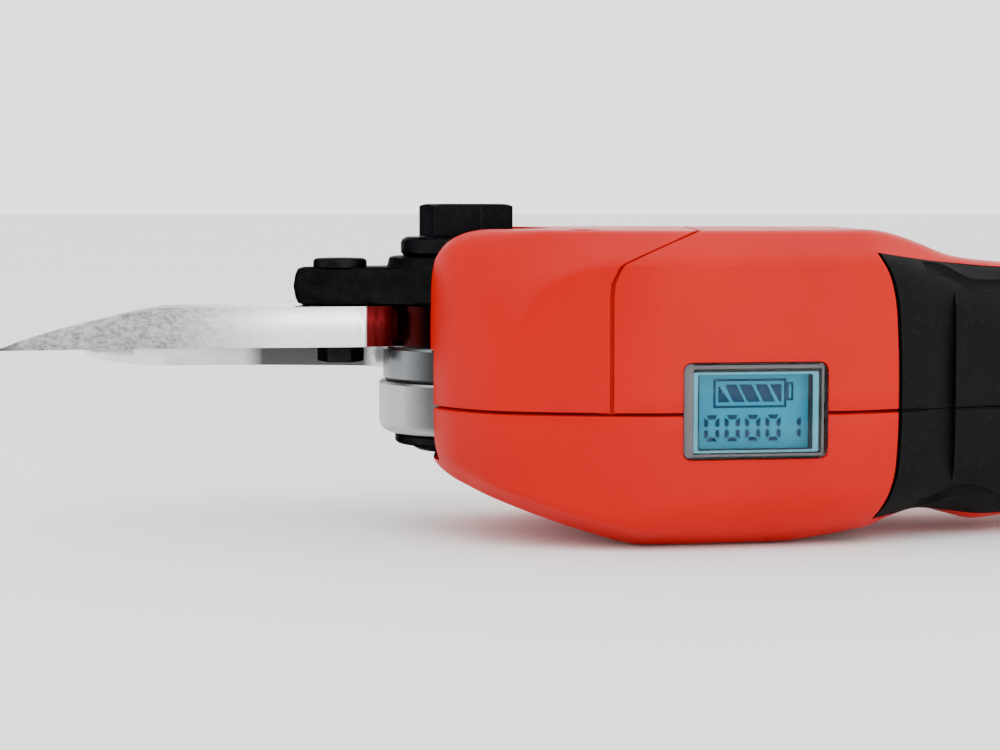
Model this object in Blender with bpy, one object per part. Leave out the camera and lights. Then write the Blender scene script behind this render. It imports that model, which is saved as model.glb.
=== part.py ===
"""Cordless bypass cutter: a two-half plastic body around a motor, a bevel pinion that swings a
steel blade past a fixed hook, a pistol-style trigger and a slide-on battery.

The tool lies on its right side.  +X runs from the blades to the battery, +Y from the spine to the
trigger side and +Z to the tool's left side.  The blade pivots on the vertical line x = y = 0.
Every length below is in millimetres; the mesh helpers turn them into metres.
"""
import math

import bmesh
import bpy
from mathutils import Matrix, Vector

MM = 0.001
GAP = 0.3                    # space left between neighbouring pieces
ROUND = 40                   # sides of a large turned piece
SMALL_ROUND = 20             # sides of a screw or pin
TURNED_START = 0.07          # keeps the sides' edges off the planes other pieces use

# Body: one row per cross-section as (spine x, spine y, belly x, belly y, left z, right z).
BODY_STATIONS = (
    (-6.8, -15.5, -6.8, 15.5, 28.0, -10.0),
    (-5.6, -18.6, -5.6, 18.5, 30.5, -11.9),
    (-2.9, -23.0, -2.9, 22.5, 33.0, -13.8),
    (0.5, -26.6, 0.5, 25.5, 34.5, -15.4),
    (6.0, -30.8, 5.0, 27.5, 35.0, -17.6),
    (15.0, -33.5, 14.0, 29.0, 35.0, -21.0),
    (25.0, -35.2, 24.0, 29.7, 35.0, -24.2),
    (35.0, -36.0, 35.0, 30.0, 35.0, -26.5),
    (44.0, -35.2, 46.0, 30.0, 35.0, -26.5),
    (60.0, -32.9, 60.0, 29.5, 35.0, -26.5),
    (72.0, -31.1, 70.0, 28.5, 35.0, -25.2),
    (79.0, -29.0, 76.0, 27.0, 35.0, -24.3),
    (85.0, -26.4, 80.0, 25.0, 34.3, -22.3),
    (92.0, -23.4, 84.0, 23.5, 32.3, -20.9),
    (99.0, -20.4, 88.0, 22.5, 30.0, -21.8),
    (107.0, -17.2, 92.5, 22.4, 28.8, -23.8),
    (118.0, -12.4, 100.0, 23.6, 28.0, -23.0),
    (135.0, -4.0, 116.0, 30.5, 27.0, -21.5),
    (155.0, 6.5, 137.0, 40.8, 26.5, -20.5),
    (168.0, 13.4, 150.0, 47.7, 27.0, -21.5),
    (175.5, 14.6, 154.9, 53.2, 28.0, -24.0),
    (183.1, 15.0, 159.7, 59.1, 29.0, -26.2),
)
HANDLE_START = 11            # first section of the handle, where the grip sits in the shell
CAVITY_START = 2             # first section of the space inside
CHAMFER_Z = 6.0              # long chamfer, across the body
CHAMFER_DEPTH = 9.5          # long chamfer, down the flank
BELLY_ROUND = 8.0
WALL = 2.5
GRIP_DEPTH = 2.5

# Pivot stack, from the nut up.
BOLT_R = 5.0
BOLT_CLEARANCE = 0.1
NUT_FLANGE_R, NUT_DOME_R = 14.6, 11.5
NUT_BOTTOM, NUT_FLANGE_BOTTOM, NUT_TOP = -10.4, -8.7, -6.7
BOSS_R, BOSS_BOTTOM, BOSS_TOP = 17.85, -6.4, 4.05
HUB_R, HUB_TOP = 17.0, 11.1
HOOK_BOTTOM, HOOK_TOP = 6.0, 11.1
BLADE_BOTTOM, BLADE_TOP = 11.4, 19.5
ARM_BOTTOM, ARM_TOP = 19.8, 27.2
COLLAR_R, COLLAR_TOP = 16.0, 29.5
WASHER_R, WASHER_BOTTOM, WASHER_TOP = 13.3, 29.8, 33.2
HEAD_BOTTOM, HEAD_TOP, HEAD_FLATS = 33.5, 39.9, 17.0
SHELL_BORE_R = 16.7          # the arm's collar turns in this opening of the cover
BOSS_BORE_R = 18.3

# Bevel drive: cones with their common tip on the pivot axis.
APEX_Z = 10.0
PITCH_AT = 25.0              # distance from the tip where the gear sizes are given
PINION_TEETH, GEAR_TEETH = 12, 40
PINION_PITCH_R = PITCH_AT * PINION_TEETH / GEAR_TEETH
SECTOR_TEETH = 8
FACE_START, FACE_END = 19.6, 26.2
ADDENDUM, DEDENDUM = 1.0, 1.4

# Motor line, along +X at the height of the cones' tip.
WALL_PLATE = (27.6, 31.0)
GEARBOX = (31.3, 50.0, 15.5)
MOTOR = (50.3, 72.0, 14.5)
END_BELL = (72.3, 76.5, 13.0)

# Trigger
TRIGGER_PIN = (84.0, 17.5)
TRIGGER_Z = (-2.0, 8.0)
TRIGGER_OUTLINE = ((80.0, 19.5), (86.0, 21.5), (89.5, 28.0), (93.0, 37.0), (98.5, 45.0),
                   (103.5, 47.5), (107.2, 44.0), (107.0, 33.0), (104.5, 22.0), (98.0, 14.5),
                   (88.0, 12.8), (81.0, 14.0))
GUARD_PATH = ((59.0, 33.0), (61.5, 43.0), (71.0, 54.0), (86.0, 60.0), (102.0, 59.0),
              (114.0, 51.0), (122.0, 35.5))
GUARD_WIDTH, GUARD_THICK = 11.0, 4.0

# Display, tilted with the spine
DISPLAY_AT = (56.0, -33.5)
DISPLAY_TILT = math.radians(8.2)
DISPLAY_Z = 0.55
DISPLAY_SIZE = (28.0, 18.3)

# Battery, slid on along the handle
BATTERY_AT = (171.4, 37.05)
HANDLE_TILT = math.radians(28.0)
BATTERY_LENGTH, BATTERY_HALF = 76.0, 25.0
BATTERY_LEFT, BATTERY_RIGHT = 29.0, -26.5
CELL_R, CELL_LENGTH = 10.6, 65.0

BODY_SCREWS = ((34.5, 23.0), (36.0, -23.0), (75.5, -18.5), (66.0, 21.5))
HANDLE_SCREWS = ((121.0, 6.0), (141.0, 17.0))
COVER_SCREWS = ((23.5, -21.0), (22.5, 24.5))

# Cutting parts, as seen from the tool's left side
HOOK_SCREWS = ((-2.0, 22.0), (12.0, 21.5))
HOOK_OUTLINE = (
    (-16.9, 4.0), (-19.5, 9.0), (-24.0, 11.2), (-32.0, 12.0), (-43.0, 12.8), (-56.0, 12.2),
    (-66.0, 9.9), (-73.5, 6.9), (-79.2, 5.0), (-79.6, 6.6), (-76.5, 11.5), (-70.0, 17.0),
    (-61.0, 21.8), (-50.0, 25.0), (-36.0, 26.6), (-22.0, 27.4), (-8.0, 28.2), (10.0, 28.2),
    (17.0, 26.0), (18.6, 20.0), (16.6, 14.0), (8.0, 8.0), (-8.0, 3.0),
)
BLADE_OUTLINE = (
    (-12.8, -8.2), (-17.0, -10.3), (-22.0, -11.8), (-40.0, -14.4), (-60.0, -17.3),
    (-76.0, -20.4), (-90.7, -23.5), (-84.0, -14.8), (-74.0, -7.4), (-62.0, -2.2),
    (-48.0, 1.4), (-34.0, 4.2), (-22.0, 6.6), (-15.0, 9.0),
)
# Ground-away space seen from the spine, as (x, z): above the blade's tip, below the hook's.
BLADE_TIP_TOP = ((-94.0, 11.5), (-90.5, 11.9), (-87.6, 13.0), (-82.7, 14.6), (-74.1, 16.8),
                 (-63.8, 19.1), (-57.0, 19.7), (-57.0, 26.0), (-94.0, 26.0))
HOOK_TIP_BELOW = ((-84.0, 10.2), (-79.8, 9.6), (-77.4, 8.0), (-71.1, 6.7), (-64.0, 6.1),
                  (-60.0, 5.9), (-60.0, 2.0), (-84.0, 2.0))
BLADE_SCREW = (-25.4, -4.6)
ARM_FRONT = ((-10.0, -12.4), (-18.0, -10.6), (-28.0, -9.6), (-33.0, -8.0), (-34.6, -4.8),
             (-33.0, -1.4), (-28.0, 1.4), (-18.0, 6.4), (-10.0, 12.2))

COLOURS = {
    "red": ((0.80, 0.055, 0.040), 0.38, 0.0),
    "rubber": ((0.018, 0.020, 0.019), 0.75, 0.0),
    "black_plastic": ((0.022, 0.023, 0.025), 0.45, 0.0),
    "aluminium": ((0.66, 0.67, 0.68), 0.35, 1.0),
    "blade_steel": ((0.52, 0.52, 0.53), 0.30, 1.0),
    "dark_steel": ((0.055, 0.057, 0.062), 0.42, 1.0),
    "zinc_steel": ((0.50, 0.51, 0.52), 0.35, 1.0),
    "lcd": ((0.20, 0.42, 0.45), 0.25, 0.0),
    "clear": ((0.80, 0.88, 0.90), 0.06, 0.0),
    "board": ((0.02, 0.16, 0.07), 0.5, 0.0),
    "cell_wrap": ((0.06, 0.28, 0.45), 0.4, 0.0),
    "copper": ((0.72, 0.36, 0.16), 0.3, 1.0),
}

for old in list(bpy.data.objects):
    bpy.data.objects.remove(old, do_unlink=True)

parts = bpy.data.collections.new("rescue_cutter")
cutters = bpy.data.collections.new("cutters")
bpy.context.scene.collection.children.link(parts)
bpy.context.scene.collection.children.link(cutters)
root = bpy.data.objects.new("rescue_cutter_root", None)
parts.objects.link(root)


def material(name):
    colour, roughness, metallic = COLOURS[name]
    made = bpy.data.materials.get(name) or bpy.data.materials.new(name)
    made.use_nodes = True
    shader = made.node_tree.nodes["Principled BSDF"]
    shader.inputs["Base Color"].default_value = (*colour, 1.0)
    shader.inputs["Roughness"].default_value = roughness
    shader.inputs["Metallic"].default_value = metallic
    if name == "clear":
        shader.inputs["Alpha"].default_value = 0.35
    return made


def add_object(name, shape, look=None, smooth=False):
    """Turn a bmesh in millimetres into an object; without a look it is a cutter."""
    shape.normal_update()
    bmesh.ops.recalc_face_normals(shape, faces=shape.faces)
    bmesh.ops.scale(shape, vec=(MM, MM, MM), verts=shape.verts)
    mesh = bpy.data.meshes.new(name)
    shape.to_mesh(mesh)
    shape.free()
    made = bpy.data.objects.new(name, mesh)
    made.parent = root
    if look:
        mesh.materials.append(material(look))
        parts.objects.link(made)
        for face in mesh.polygons:
            face.use_smooth = smooth
    else:
        cutters.objects.link(made)
        made.hide_render = True
        made.display_type = "WIRE"
    return made


def set_origin(made, x, y, z):
    """Put the object's origin on its joint axis without moving the piece."""
    offset = Vector((x, y, z)) * MM
    made.data.transform(Matrix.Translation(-offset))
    made.location = offset


def combine(target, operation, *others):
    for other in others:
        step = target.modifiers.new(operation.lower(), "BOOLEAN")
        step.operation = operation
        step.solver = "EXACT"
        step.object = other


def cut(target, *others):
    combine(target, "DIFFERENCE", *others)


def join(target, *others):
    combine(target, "UNION", *others)


def circle(radius, count, centre=(0.0, 0.0), start=0.0):
    angles = [start + 2 * math.pi * k / count for k in range(count)]
    return [(centre[0] + radius * math.cos(a), centre[1] + radius * math.sin(a)) for a in angles]


def loft(rings):
    """Skin through equal-length rings of points, closed with a face at each end."""
    shape = bmesh.new()
    rows = [[shape.verts.new(point) for point in ring] for ring in rings]
    count = len(rows[0])
    for low, high in zip(rows, rows[1:]):
        for k in range(count):
            shape.faces.new((low[k], low[(k + 1) % count], high[(k + 1) % count], high[k]))
    shape.faces.new(rows[0][::-1])
    shape.faces.new(rows[-1])
    return shape


def prism(outline, low, high):
    return loft([[(x, y, z) for x, y in outline] for z in (low, high)])


def turned(profile, count=ROUND, closed=False):
    """Revolve (radius, z) points about Z; a closed profile makes a ring."""
    shape = bmesh.new()
    rows = []
    for radius, z in profile:
        if radius > 0:
            rows.append([shape.verts.new((x, y, z)) for x, y in circle(radius, count, start=TURNED_START)])
        else:
            rows.append([shape.verts.new((0, 0, z))])
    pairs = list(zip(rows, rows[1:]))
    if closed:
        pairs.append((rows[-1], rows[0]))
    for low, high in pairs:
        for k in range(count):
            n = (k + 1) % count
            if len(low) == 1:
                shape.faces.new((low[0], high[n], high[k]))
            elif len(high) == 1:
                shape.faces.new((low[k], low[n], high[0]))
            else:
                shape.faces.new((low[k], low[n], high[n], high[k]))
    return shape


def ring(inner, outer, low, high, count=ROUND):
    return turned([(inner, low), (outer, low), (outer, high), (inner, high)], count, closed=True)


def rod(radius, low, high, count=SMALL_ROUND):
    return turned([(0, low), (radius, low), (radius, high), (0, high)], count)


def stepped(wide, narrow, wide_end, step, narrow_end, count=SMALL_ROUND):
    """A rod along Z with a wider end, for a counterbored hole."""
    profile = [(0, wide_end), (wide, wide_end), (wide, step), (narrow, step),
               (narrow, narrow_end), (0, narrow_end)]
    return turned(profile, count)


def placed(shape, matrix):
    bmesh.ops.transform(shape, matrix=matrix, verts=shape.verts)
    return shape


def at(x, y, z=0.0):
    return Matrix.Translation((x, y, z))


ALONG_X = Matrix.Rotation(math.radians(90), 4, "Y")
ALONG_Y = Matrix.Rotation(math.radians(-90), 4, "X")


def box(low, high, bevel=0.0):
    shape = bmesh.new()
    size = [b - a for a, b in zip(low, high)]
    middle = [(a + b) / 2 for a, b in zip(low, high)]
    bmesh.ops.create_cube(shape, size=1.0)
    bmesh.ops.scale(shape, vec=size, verts=shape.verts)
    bmesh.ops.translate(shape, vec=middle, verts=shape.verts)
    if bevel:
        bmesh.ops.bevel(shape, geom=shape.edges[:], offset=bevel, segments=2, profile=0.5,
                        affect="EDGES")
    return shape


def body_ring(station, spine_in, side_in):
    """One cross-section of the body: an oblong with long chamfers on its spine corners."""
    sx, sy, bx, by, left, right = station
    spine = Vector((sx, sy))
    belly = Vector((bx, by))
    down = (belly - spine).normalized()
    depth = (belly - spine).length - 2 * spine_in
    spine += down * spine_in
    left -= side_in
    right += side_in
    width = left - right
    chamfer_z = min(CHAMFER_Z, width * 0.3)
    chamfer = min(CHAMFER_DEPTH, depth * 0.35)
    curve = min(BELLY_ROUND, depth * 0.25)
    points = [(left - chamfer_z, 0), (left - 0.45 * chamfer_z, 0.42 * chamfer), (left, chamfer)]
    points += [(left, depth - curve), (left - 0.3 * curve, depth - 0.3 * curve),
               (left - curve, depth)]
    points += [(right + curve, depth), (right + 0.3 * curve, depth - 0.3 * curve),
               (right, depth - curve)]
    points += [(right, chamfer), (right + 0.45 * chamfer_z, 0.42 * chamfer),
               (right + chamfer_z, 0)]
    return [(*(spine + down * d), z) for z, d in points]


def body_solid(stations, inset, extra=0.0):
    rings = []
    handle = BODY_STATIONS[HANDLE_START][0]
    for station in stations:
        depth = inset + (extra if station[0] >= handle else 0.0)
        rings.append(body_ring(station, depth, depth))
    return loft(rings)


def tool_box(name, low, high):
    return add_object(name, box(low, high))


# ---------------------------------------------------------------- shared cutters
def opened_stations():
    """The cavity starts behind the nose and runs out through the rear of the handle."""
    sx, sy, bx, by, left, right = BODY_STATIONS[-1]
    run = Vector((math.cos(HANDLE_TILT), math.sin(HANDLE_TILT))) * 6.0
    beyond = (sx + run.x, sy + run.y, bx + run.x, by + run.y, left, right)
    return BODY_STATIONS[CAVITY_START:] + (beyond,)


grip_core = add_object("cut_grip_core", body_solid(BODY_STATIONS, GRIP_DEPTH))
grip_inner = add_object("cut_grip_inner", body_solid(BODY_STATIONS, GRIP_DEPTH - GAP))

GRIP_FRONT = ((80.7, 30.7), (82.3, 27.5), (84.3, 24.2), (85.0, 20.0), (85.0, -12.0),
              (84.3, -15.0), (82.5, -18.5), (80.7, -21.4))


def grip_zone(name, grow):
    rear = [(106.0, -22.6 - grow), (150.0 + grow, -19.0 - grow), (150.0 + grow, 25.0 + grow),
            (106.0, 28.0 + grow)]
    front = [(x - grow, z + math.copysign(grow, z)) for x, z in GRIP_FRONT]
    plan = front + rear
    top = [(x, -50.0, z) for x, z in plan]
    low = [(x, -14.0 + 0.45 * (x - 85.0) + grow, z) for x, z in plan]
    return add_object(name, loft([top, low]))


grip_area = grip_zone("cut_grip_zone", 0.0)
grip_recess = grip_zone("cut_grip_recess", GAP)
cut(grip_recess, grip_core)

left_half = tool_box("cut_left_half", (-50, -80, GAP / 2), (300, 150, 80))
right_half = tool_box("cut_right_half", (-50, -80, -80), (300, 150, -GAP / 2))
mouth = add_object("cut_mouth", rod(SHELL_BORE_R, 11.0, 60.0, ROUND))
boss_room = add_object("cut_boss_room", rod(BOSS_BORE_R, -10.7, 11.2, ROUND))
belly_mouth = tool_box("cut_belly_mouth", (-12, 8, -7.0), (18, 50, 30.5))


def cover_zone(name, shift):
    """Space of the gear cover: ahead of a seam that turns back near the left face."""
    seam = [(28.3 + shift, -5.0), (28.3 + shift, 25.5), (30.0 + shift, 28.6),
            (46.5 + shift, 35.4), (60.0 + shift, 41.0), (-30.0, 41.0), (-30.0, -5.0)]
    return add_object(name, placed(prism(seam, -80, 80), Matrix.Rotation(math.radians(90), 4, "X")))


cover_side = cover_zone("cut_cover_zone", -0.4)
shell_side = cover_zone("cut_shell_zone", 0.4)

display_place = (at(*DISPLAY_AT, DISPLAY_Z) @ Matrix.Rotation(DISPLAY_TILT, 4, "Z"))


def display_box(name, long, wide, top, bottom, look=None, bevel=0.0):
    """A plate in the display's own frame: top and bottom are depths below the spine."""
    shape = box((-long / 2, top, -wide / 2), (long / 2, bottom, wide / 2), bevel)
    return add_object(name, placed(shape, display_place), look)


display_room = display_box("cut_display", DISPLAY_SIZE[0] + 0.7, DISPLAY_SIZE[1] + 0.7, -8, 9)
trigger_slot = tool_box("cut_trigger_slot", (79.0, 15.0, -2.6), (113.0, 60.0, 8.6))
pin_profile = [(0, -9.3), (2.3, -9.3), (2.3, 8.5), (4.4, 8.5), (4.4, 13.2), (2.3, 13.2), (2.3, 17.3),
               (0, 17.3)]
pin_room = add_object("cut_pin", placed(turned(pin_profile, SMALL_ROUND), at(*TRIGGER_PIN)))
button_hole = add_object("cut_button", placed(rod(5.8, 20, 40), at(46, 0, 14) @ ALONG_Y))


# ---------------------------------------------------------------- body shells
def hollow(name, *post_groups):
    """The inside space with screw posts left standing; a group is (places, radius)."""
    space = add_object(f"cut_{name}", body_solid(opened_stations(), WALL, GRIP_DEPTH))
    for places, radius in post_groups:
        for k, (x, y) in enumerate(places, 1):
            cut(space, add_object(f"{name}_post_{radius:.0f}_{k}", placed(rod(radius, -60, 60),
                                                                          at(x, y))))
    return space


def screw_holes(name, places, *sizes):
    return [add_object(f"cut_{name}_{k}", placed(stepped(*sizes), at(x, y)))
            for k, (x, y) in enumerate(places, 1)]


def make_shells():
    outer = body_solid(BODY_STATIONS, 0.0)
    left = add_object("left_shell", outer.copy(), "red")
    right = add_object("right_shell", outer.copy(), "red")
    cover = add_object("gear_cover", outer, "red")
    body_places = BODY_SCREWS + HANDLE_SCREWS
    cut(left, hollow("left_space", (body_places, 3.8)), grip_recess)
    cut(right, hollow("right_space", (body_places, 5.0), (COVER_SCREWS, 3.8)), grip_recess)
    cut(cover, hollow("cover_space", (COVER_SCREWS, 5.0)))
    combine(left, "INTERSECT", left_half)
    combine(right, "INTERSECT", right_half)
    combine(cover, "INTERSECT", left_half, cover_side)
    holes = screw_holes("screw", body_places, 3.5, 1.9, -40, -14.3, 12.4)
    cover_holes = screw_holes("cover_screw", COVER_SCREWS, 3.5, 1.9, 50, 28.3, -12.4)
    cut(left, shell_side, display_room, trigger_slot, pin_room, button_hole, *holes)
    cut(right, display_room, trigger_slot, pin_room, boss_room, belly_mouth, *holes)
    cut(right, *cover_holes)
    cut(cover, mouth, boss_room, belly_mouth, *cover_holes)


make_shells()


def make_grip(name, half):
    grip = add_object(name, body_solid(BODY_STATIONS, 0.0), "rubber")
    combine(grip, "INTERSECT", grip_area, half)
    cut(grip, grip_inner)


make_grip("grip_left", left_half)
make_grip("grip_right", right_half)

# ---------------------------------------------------------------- display
display_box("display_window", *DISPLAY_SIZE, -0.3, 1.3, "clear", 0.5)
frame = display_box("display_frame", 27.2, 17.6, 1.6, 7.0, "black_plastic")
cut(frame, display_box("cut_frame", 24.4, 15.0, 0.0, 9.0))
display_box("display_panel", 23.6, 14.4, 4.6, 6.4, "lcd")


# ---------------------------------------------------------------- fixed metal parts
def make_gear_housing():
    profile = [(BOLT_R + 0.3, BOSS_BOTTOM), (BOSS_R - 1.6, BOSS_BOTTOM),
               (BOSS_R - 0.4, BOSS_BOTTOM + 0.5), (BOSS_R, BOSS_BOTTOM + 1.7),
               (BOSS_R, BOSS_TOP), (BOLT_R + 0.3, BOSS_TOP)]
    housing = add_object("gear_housing", turned(profile, ROUND, closed=True), "aluminium")
    plate = tool_box("add_plate", (10.0, -16.0, BOSS_BOTTOM), (WALL_PLATE[1], 18.0, 0.6))
    wall = tool_box("add_wall", (WALL_PLATE[0], -17.0, BOSS_BOTTOM), (WALL_PLATE[1], 17.0, 24.5))
    pad = add_object("add_pad", prism([(-8, 12), (16, 12), (19, 18), (17, 26.4), (-6, 26.4)],
                                      BOSS_BOTTOM, HOOK_BOTTOM - GAP))
    bore = add_object("cut_housing_bore", rod(BOLT_R + 0.3, -20, 40, ROUND))
    hub_room = add_object("cut_hub_room", rod(HUB_R + 0.4, BOSS_TOP, 40, ROUND))
    bearing = add_object("cut_bearing", placed(rod(8.3, 20, 35, ROUND), at(0, 0, APEX_Z) @ ALONG_X))
    screws = [add_object(f"cut_hook_screw_{k}", placed(rod(2.8, -3, 30), at(x, y)))
              for k, (x, y) in enumerate(HOOK_SCREWS, 1)]
    join(housing, plate, wall, pad)
    cut(housing, bore, hub_room, bearing, *screws)


def across(outline):
    """A bar along Y with its section given as (x, z)."""
    return loft([[(x, y, z) for x, z in outline] for y in (-40.0, 40.0)])


def make_hook():
    hook = add_object("hook_blade", prism(HOOK_OUTLINE, HOOK_BOTTOM, HOOK_TOP), "blade_steel")
    seat = add_object("cut_hub_seat", rod(HUB_R + GAP, -20, 40, ROUND))
    screws = [add_object(f"cut_hook_hole_{k}", placed(rod(2.8, -3, 30), at(x, y)))
              for k, (x, y) in enumerate(HOOK_SCREWS, 1)]
    cut(hook, seat, add_object("cut_hook_tip", across(HOOK_TIP_BELOW)), *screws)


def headed_screw(name, place, head_r, head_h, shaft_r, top, bottom, look="dark_steel"):
    """Screw standing along Z; top is the underside of its head."""
    up = 1 if top > bottom else -1
    profile = [(0, bottom), (shaft_r, bottom), (shaft_r, top), (head_r, top),
               (head_r, top + up * head_h * 0.6), (head_r * 0.8, top + up * head_h),
               (0, top + up * head_h)]
    return add_object(name, placed(turned(profile, SMALL_ROUND), at(*place)), look)


def make_pivot():
    head = circle(HEAD_FLATS / 2 / math.cos(math.radians(30)), 6, start=math.radians(50))
    bolt = add_object("pivot_bolt", prism(head, HEAD_BOTTOM, HEAD_TOP), "dark_steel")
    join(bolt, add_object("add_bolt_shaft", rod(BOLT_R, NUT_BOTTOM + 1.2, HEAD_BOTTOM + 1, ROUND)))
    add_object("pivot_washer", ring(BOLT_R + GAP, WASHER_R, WASHER_BOTTOM, WASHER_TOP), "dark_steel")
    add_object("pivot_bush", ring(BOLT_R + GAP, HUB_R, BOSS_TOP + GAP, HUB_TOP), "zinc_steel")
    nut = [(0, NUT_BOTTOM), (NUT_DOME_R - 2.5, NUT_BOTTOM), (NUT_DOME_R, NUT_FLANGE_BOTTOM),
           (NUT_FLANGE_R, NUT_FLANGE_BOTTOM), (NUT_FLANGE_R, NUT_TOP), (BOLT_R + GAP, NUT_TOP),
           (BOLT_R + GAP, NUT_BOTTOM + 0.8), (0, NUT_BOTTOM + 0.8)]
    add_object("pivot_nut", turned(nut), "dark_steel")


# ---------------------------------------------------------------- moving blade and drive arm


def arc(radius, start, end, count):
    steps = [math.radians(start + (end - start) * k / (count - 1)) for k in range(count)]
    return [(radius * math.cos(a), radius * math.sin(a)) for a in steps]


def make_blade():
    """Thick at the pivot, ground away above the cutting edge towards the tip."""
    base = arc(15.8, 142, -142, 20)
    blade = add_object("moving_blade", prism(list(BLADE_OUTLINE) + base, BLADE_BOTTOM, BLADE_TOP),
                       "blade_steel")
    bevel = [(-11.0, 30.0), (-24.0, 4.0), (-40.0, 0.4), (-58.0, -5.2), (-74.0, -12.2),
             (-96.0, -22.5), (-110.0, 30.0)]
    low = [(x, y + 7.2, BLADE_BOTTOM + 0.7) for x, y in bevel]
    high = [(x, y, BLADE_TOP + 1.0) for x, y in bevel]
    grind = add_object("cut_grind", loft([low, high]))
    tip = add_object("cut_tip", across(BLADE_TIP_TOP))
    bore = add_object("cut_blade_bore", rod(BOLT_R + BOLT_CLEARANCE, -20, 50, ROUND))
    hole = add_object("cut_blade_hole", placed(rod(3.3, -20, 50), at(*BLADE_SCREW)))
    cut(blade, grind, tip, bore, hole)
    return bore, hole


def tooth_ring(scale):
    """Pinion outline at a distance from the cones' tip, flanks leaning in to the tooth tips."""
    points = []
    for k in range(PINION_TEETH):
        middle = math.pi / 2 + 2 * math.pi * k / PINION_TEETH
        for radius, half in ((PINION_PITCH_R - DEDENDUM, 1.10), (PINION_PITCH_R, 0.80),
                             (PINION_PITCH_R + ADDENDUM, 0.38)):
            points.append((middle - half / radius, radius))
        for radius, half in ((PINION_PITCH_R + ADDENDUM, 0.38), (PINION_PITCH_R, 0.80),
                             (PINION_PITCH_R - DEDENDUM, 1.10)):
            points.append((middle + half / radius, radius))
    ratio = scale / PITCH_AT
    return [(scale, r * ratio * math.cos(a), APEX_Z + r * ratio * math.sin(a)) for a, r in points]


def sector_tooth(angle):
    """One bevel tooth pointing down; its four corner lines all run to the cones' tip."""
    rings = []
    for distance in (FACE_START, FACE_END):
        ratio = distance / PITCH_AT
        ring_points = []
        for half, height in ((-1.42, -DEDENDUM - 0.8), (1.42, -DEDENDUM - 0.8),
                             (0.80, 0.0), (0.42, ADDENDUM), (-0.42, ADDENDUM), (-0.80, 0.0)):
            across = half * ratio
            z = APEX_Z + (PINION_PITCH_R - height) * ratio
            turn = angle + across / distance
            ring_points.append((distance * math.cos(turn), distance * math.sin(turn), z))
        rings.append(ring_points)
    return loft(rings)


def make_arm(bore, hole):
    outline = list(ARM_FRONT) + arc(COLLAR_R, 128, -128, 24)
    arm = add_object("drive_arm", prism(outline, ARM_BOTTOM, ARM_TOP), "dark_steel")
    collar = add_object("add_collar", rod(COLLAR_R - 0.2, ARM_BOTTOM + 1, COLLAR_TOP, ROUND))
    spread = 180 / GEAR_TEETH * SECTOR_TEETH
    root_in = APEX_Z + (PINION_PITCH_R + DEDENDUM) * (FACE_START - 1) / PITCH_AT
    root_out = APEX_Z + (PINION_PITCH_R + DEDENDUM) * FACE_END / PITCH_AT
    inner = arc(FACE_START - 1, -spread, spread, 13)
    outer = arc(FACE_END, -spread, spread, 13)
    hidden = arc(12.0, -spread, spread, 13)
    shape = bmesh.new()
    rows = [[(*p, ARM_BOTTOM + 0.6) for p in hidden], [(*p, ARM_BOTTOM) for p in inner],
            [(*p, max(root_in, ARM_BOTTOM - 2.6)) for p in inner], [(*p, root_out) for p in outer],
            [(*p, 25.0) for p in outer], [(*p, 25.0) for p in hidden]]
    grid = [[shape.verts.new(p) for p in row] for row in rows]
    for k, low in enumerate(grid):
        high = grid[(k + 1) % len(grid)]
        for n in range(len(low) - 1):
            shape.faces.new((low[n], low[n + 1], high[n + 1], high[n]))
    shape.faces.new([row[0] for row in grid])
    shape.faces.new([row[-1] for row in grid][::-1])
    sector = add_object("add_sector", shape)
    teeth = []
    for k in range(SECTOR_TEETH):
        angle = 2 * math.pi / GEAR_TEETH * (k - (SECTOR_TEETH - 1) / 2)
        teeth.append(add_object(f"add_tooth_{k + 1}", sector_tooth(angle)))
    join(arm, collar, sector, *teeth)
    cut(arm, bore, hole)


def make_blade_fixings():
    headed_screw("blade_screw", BLADE_SCREW, 5.3, 2.2, 3.0, ARM_TOP + GAP, 8.3)
    hexagon = circle(4.7, 6, BLADE_SCREW)
    nut = add_object("blade_nut", prism(hexagon, 8.0, BLADE_BOTTOM - GAP), "dark_steel")
    cut(nut, add_object("cut_blade_nut", placed(rod(3.3, -20, 50), at(*BLADE_SCREW))))


# ---------------------------------------------------------------- drive train
def make_drive():
    line = at(0, 0, APEX_Z) @ ALONG_X
    pinion = add_object("bevel_pinion", loft([tooth_ring(FACE_START), tooth_ring(FACE_END)]),
                        "zinc_steel")
    join(pinion, add_object("add_pinion_shaft", placed(rod(3.0, FACE_END - 2, 33.5), line)))
    add_object("pinion_bearing", placed(ring(3.1, 8.0, WALL_PLATE[0] + 0.1, WALL_PLATE[1], 28), line),
               "zinc_steel")
    shell = [(0, 35.5), (4.2, 35.5), (4.2, GEARBOX[0]), (GEARBOX[2], GEARBOX[0]),
             (GEARBOX[2], GEARBOX[1]), (0, GEARBOX[1])]
    add_object("gearbox_case", placed(turned(shell, 32), line), "dark_steel")
    add_object("motor_can", placed(rod(MOTOR[2], MOTOR[0], MOTOR[1], 32), line), "zinc_steel")
    add_object("motor_end_bell", placed(rod(END_BELL[2], END_BELL[0], END_BELL[1], 32), line),
               "black_plastic")


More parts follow.
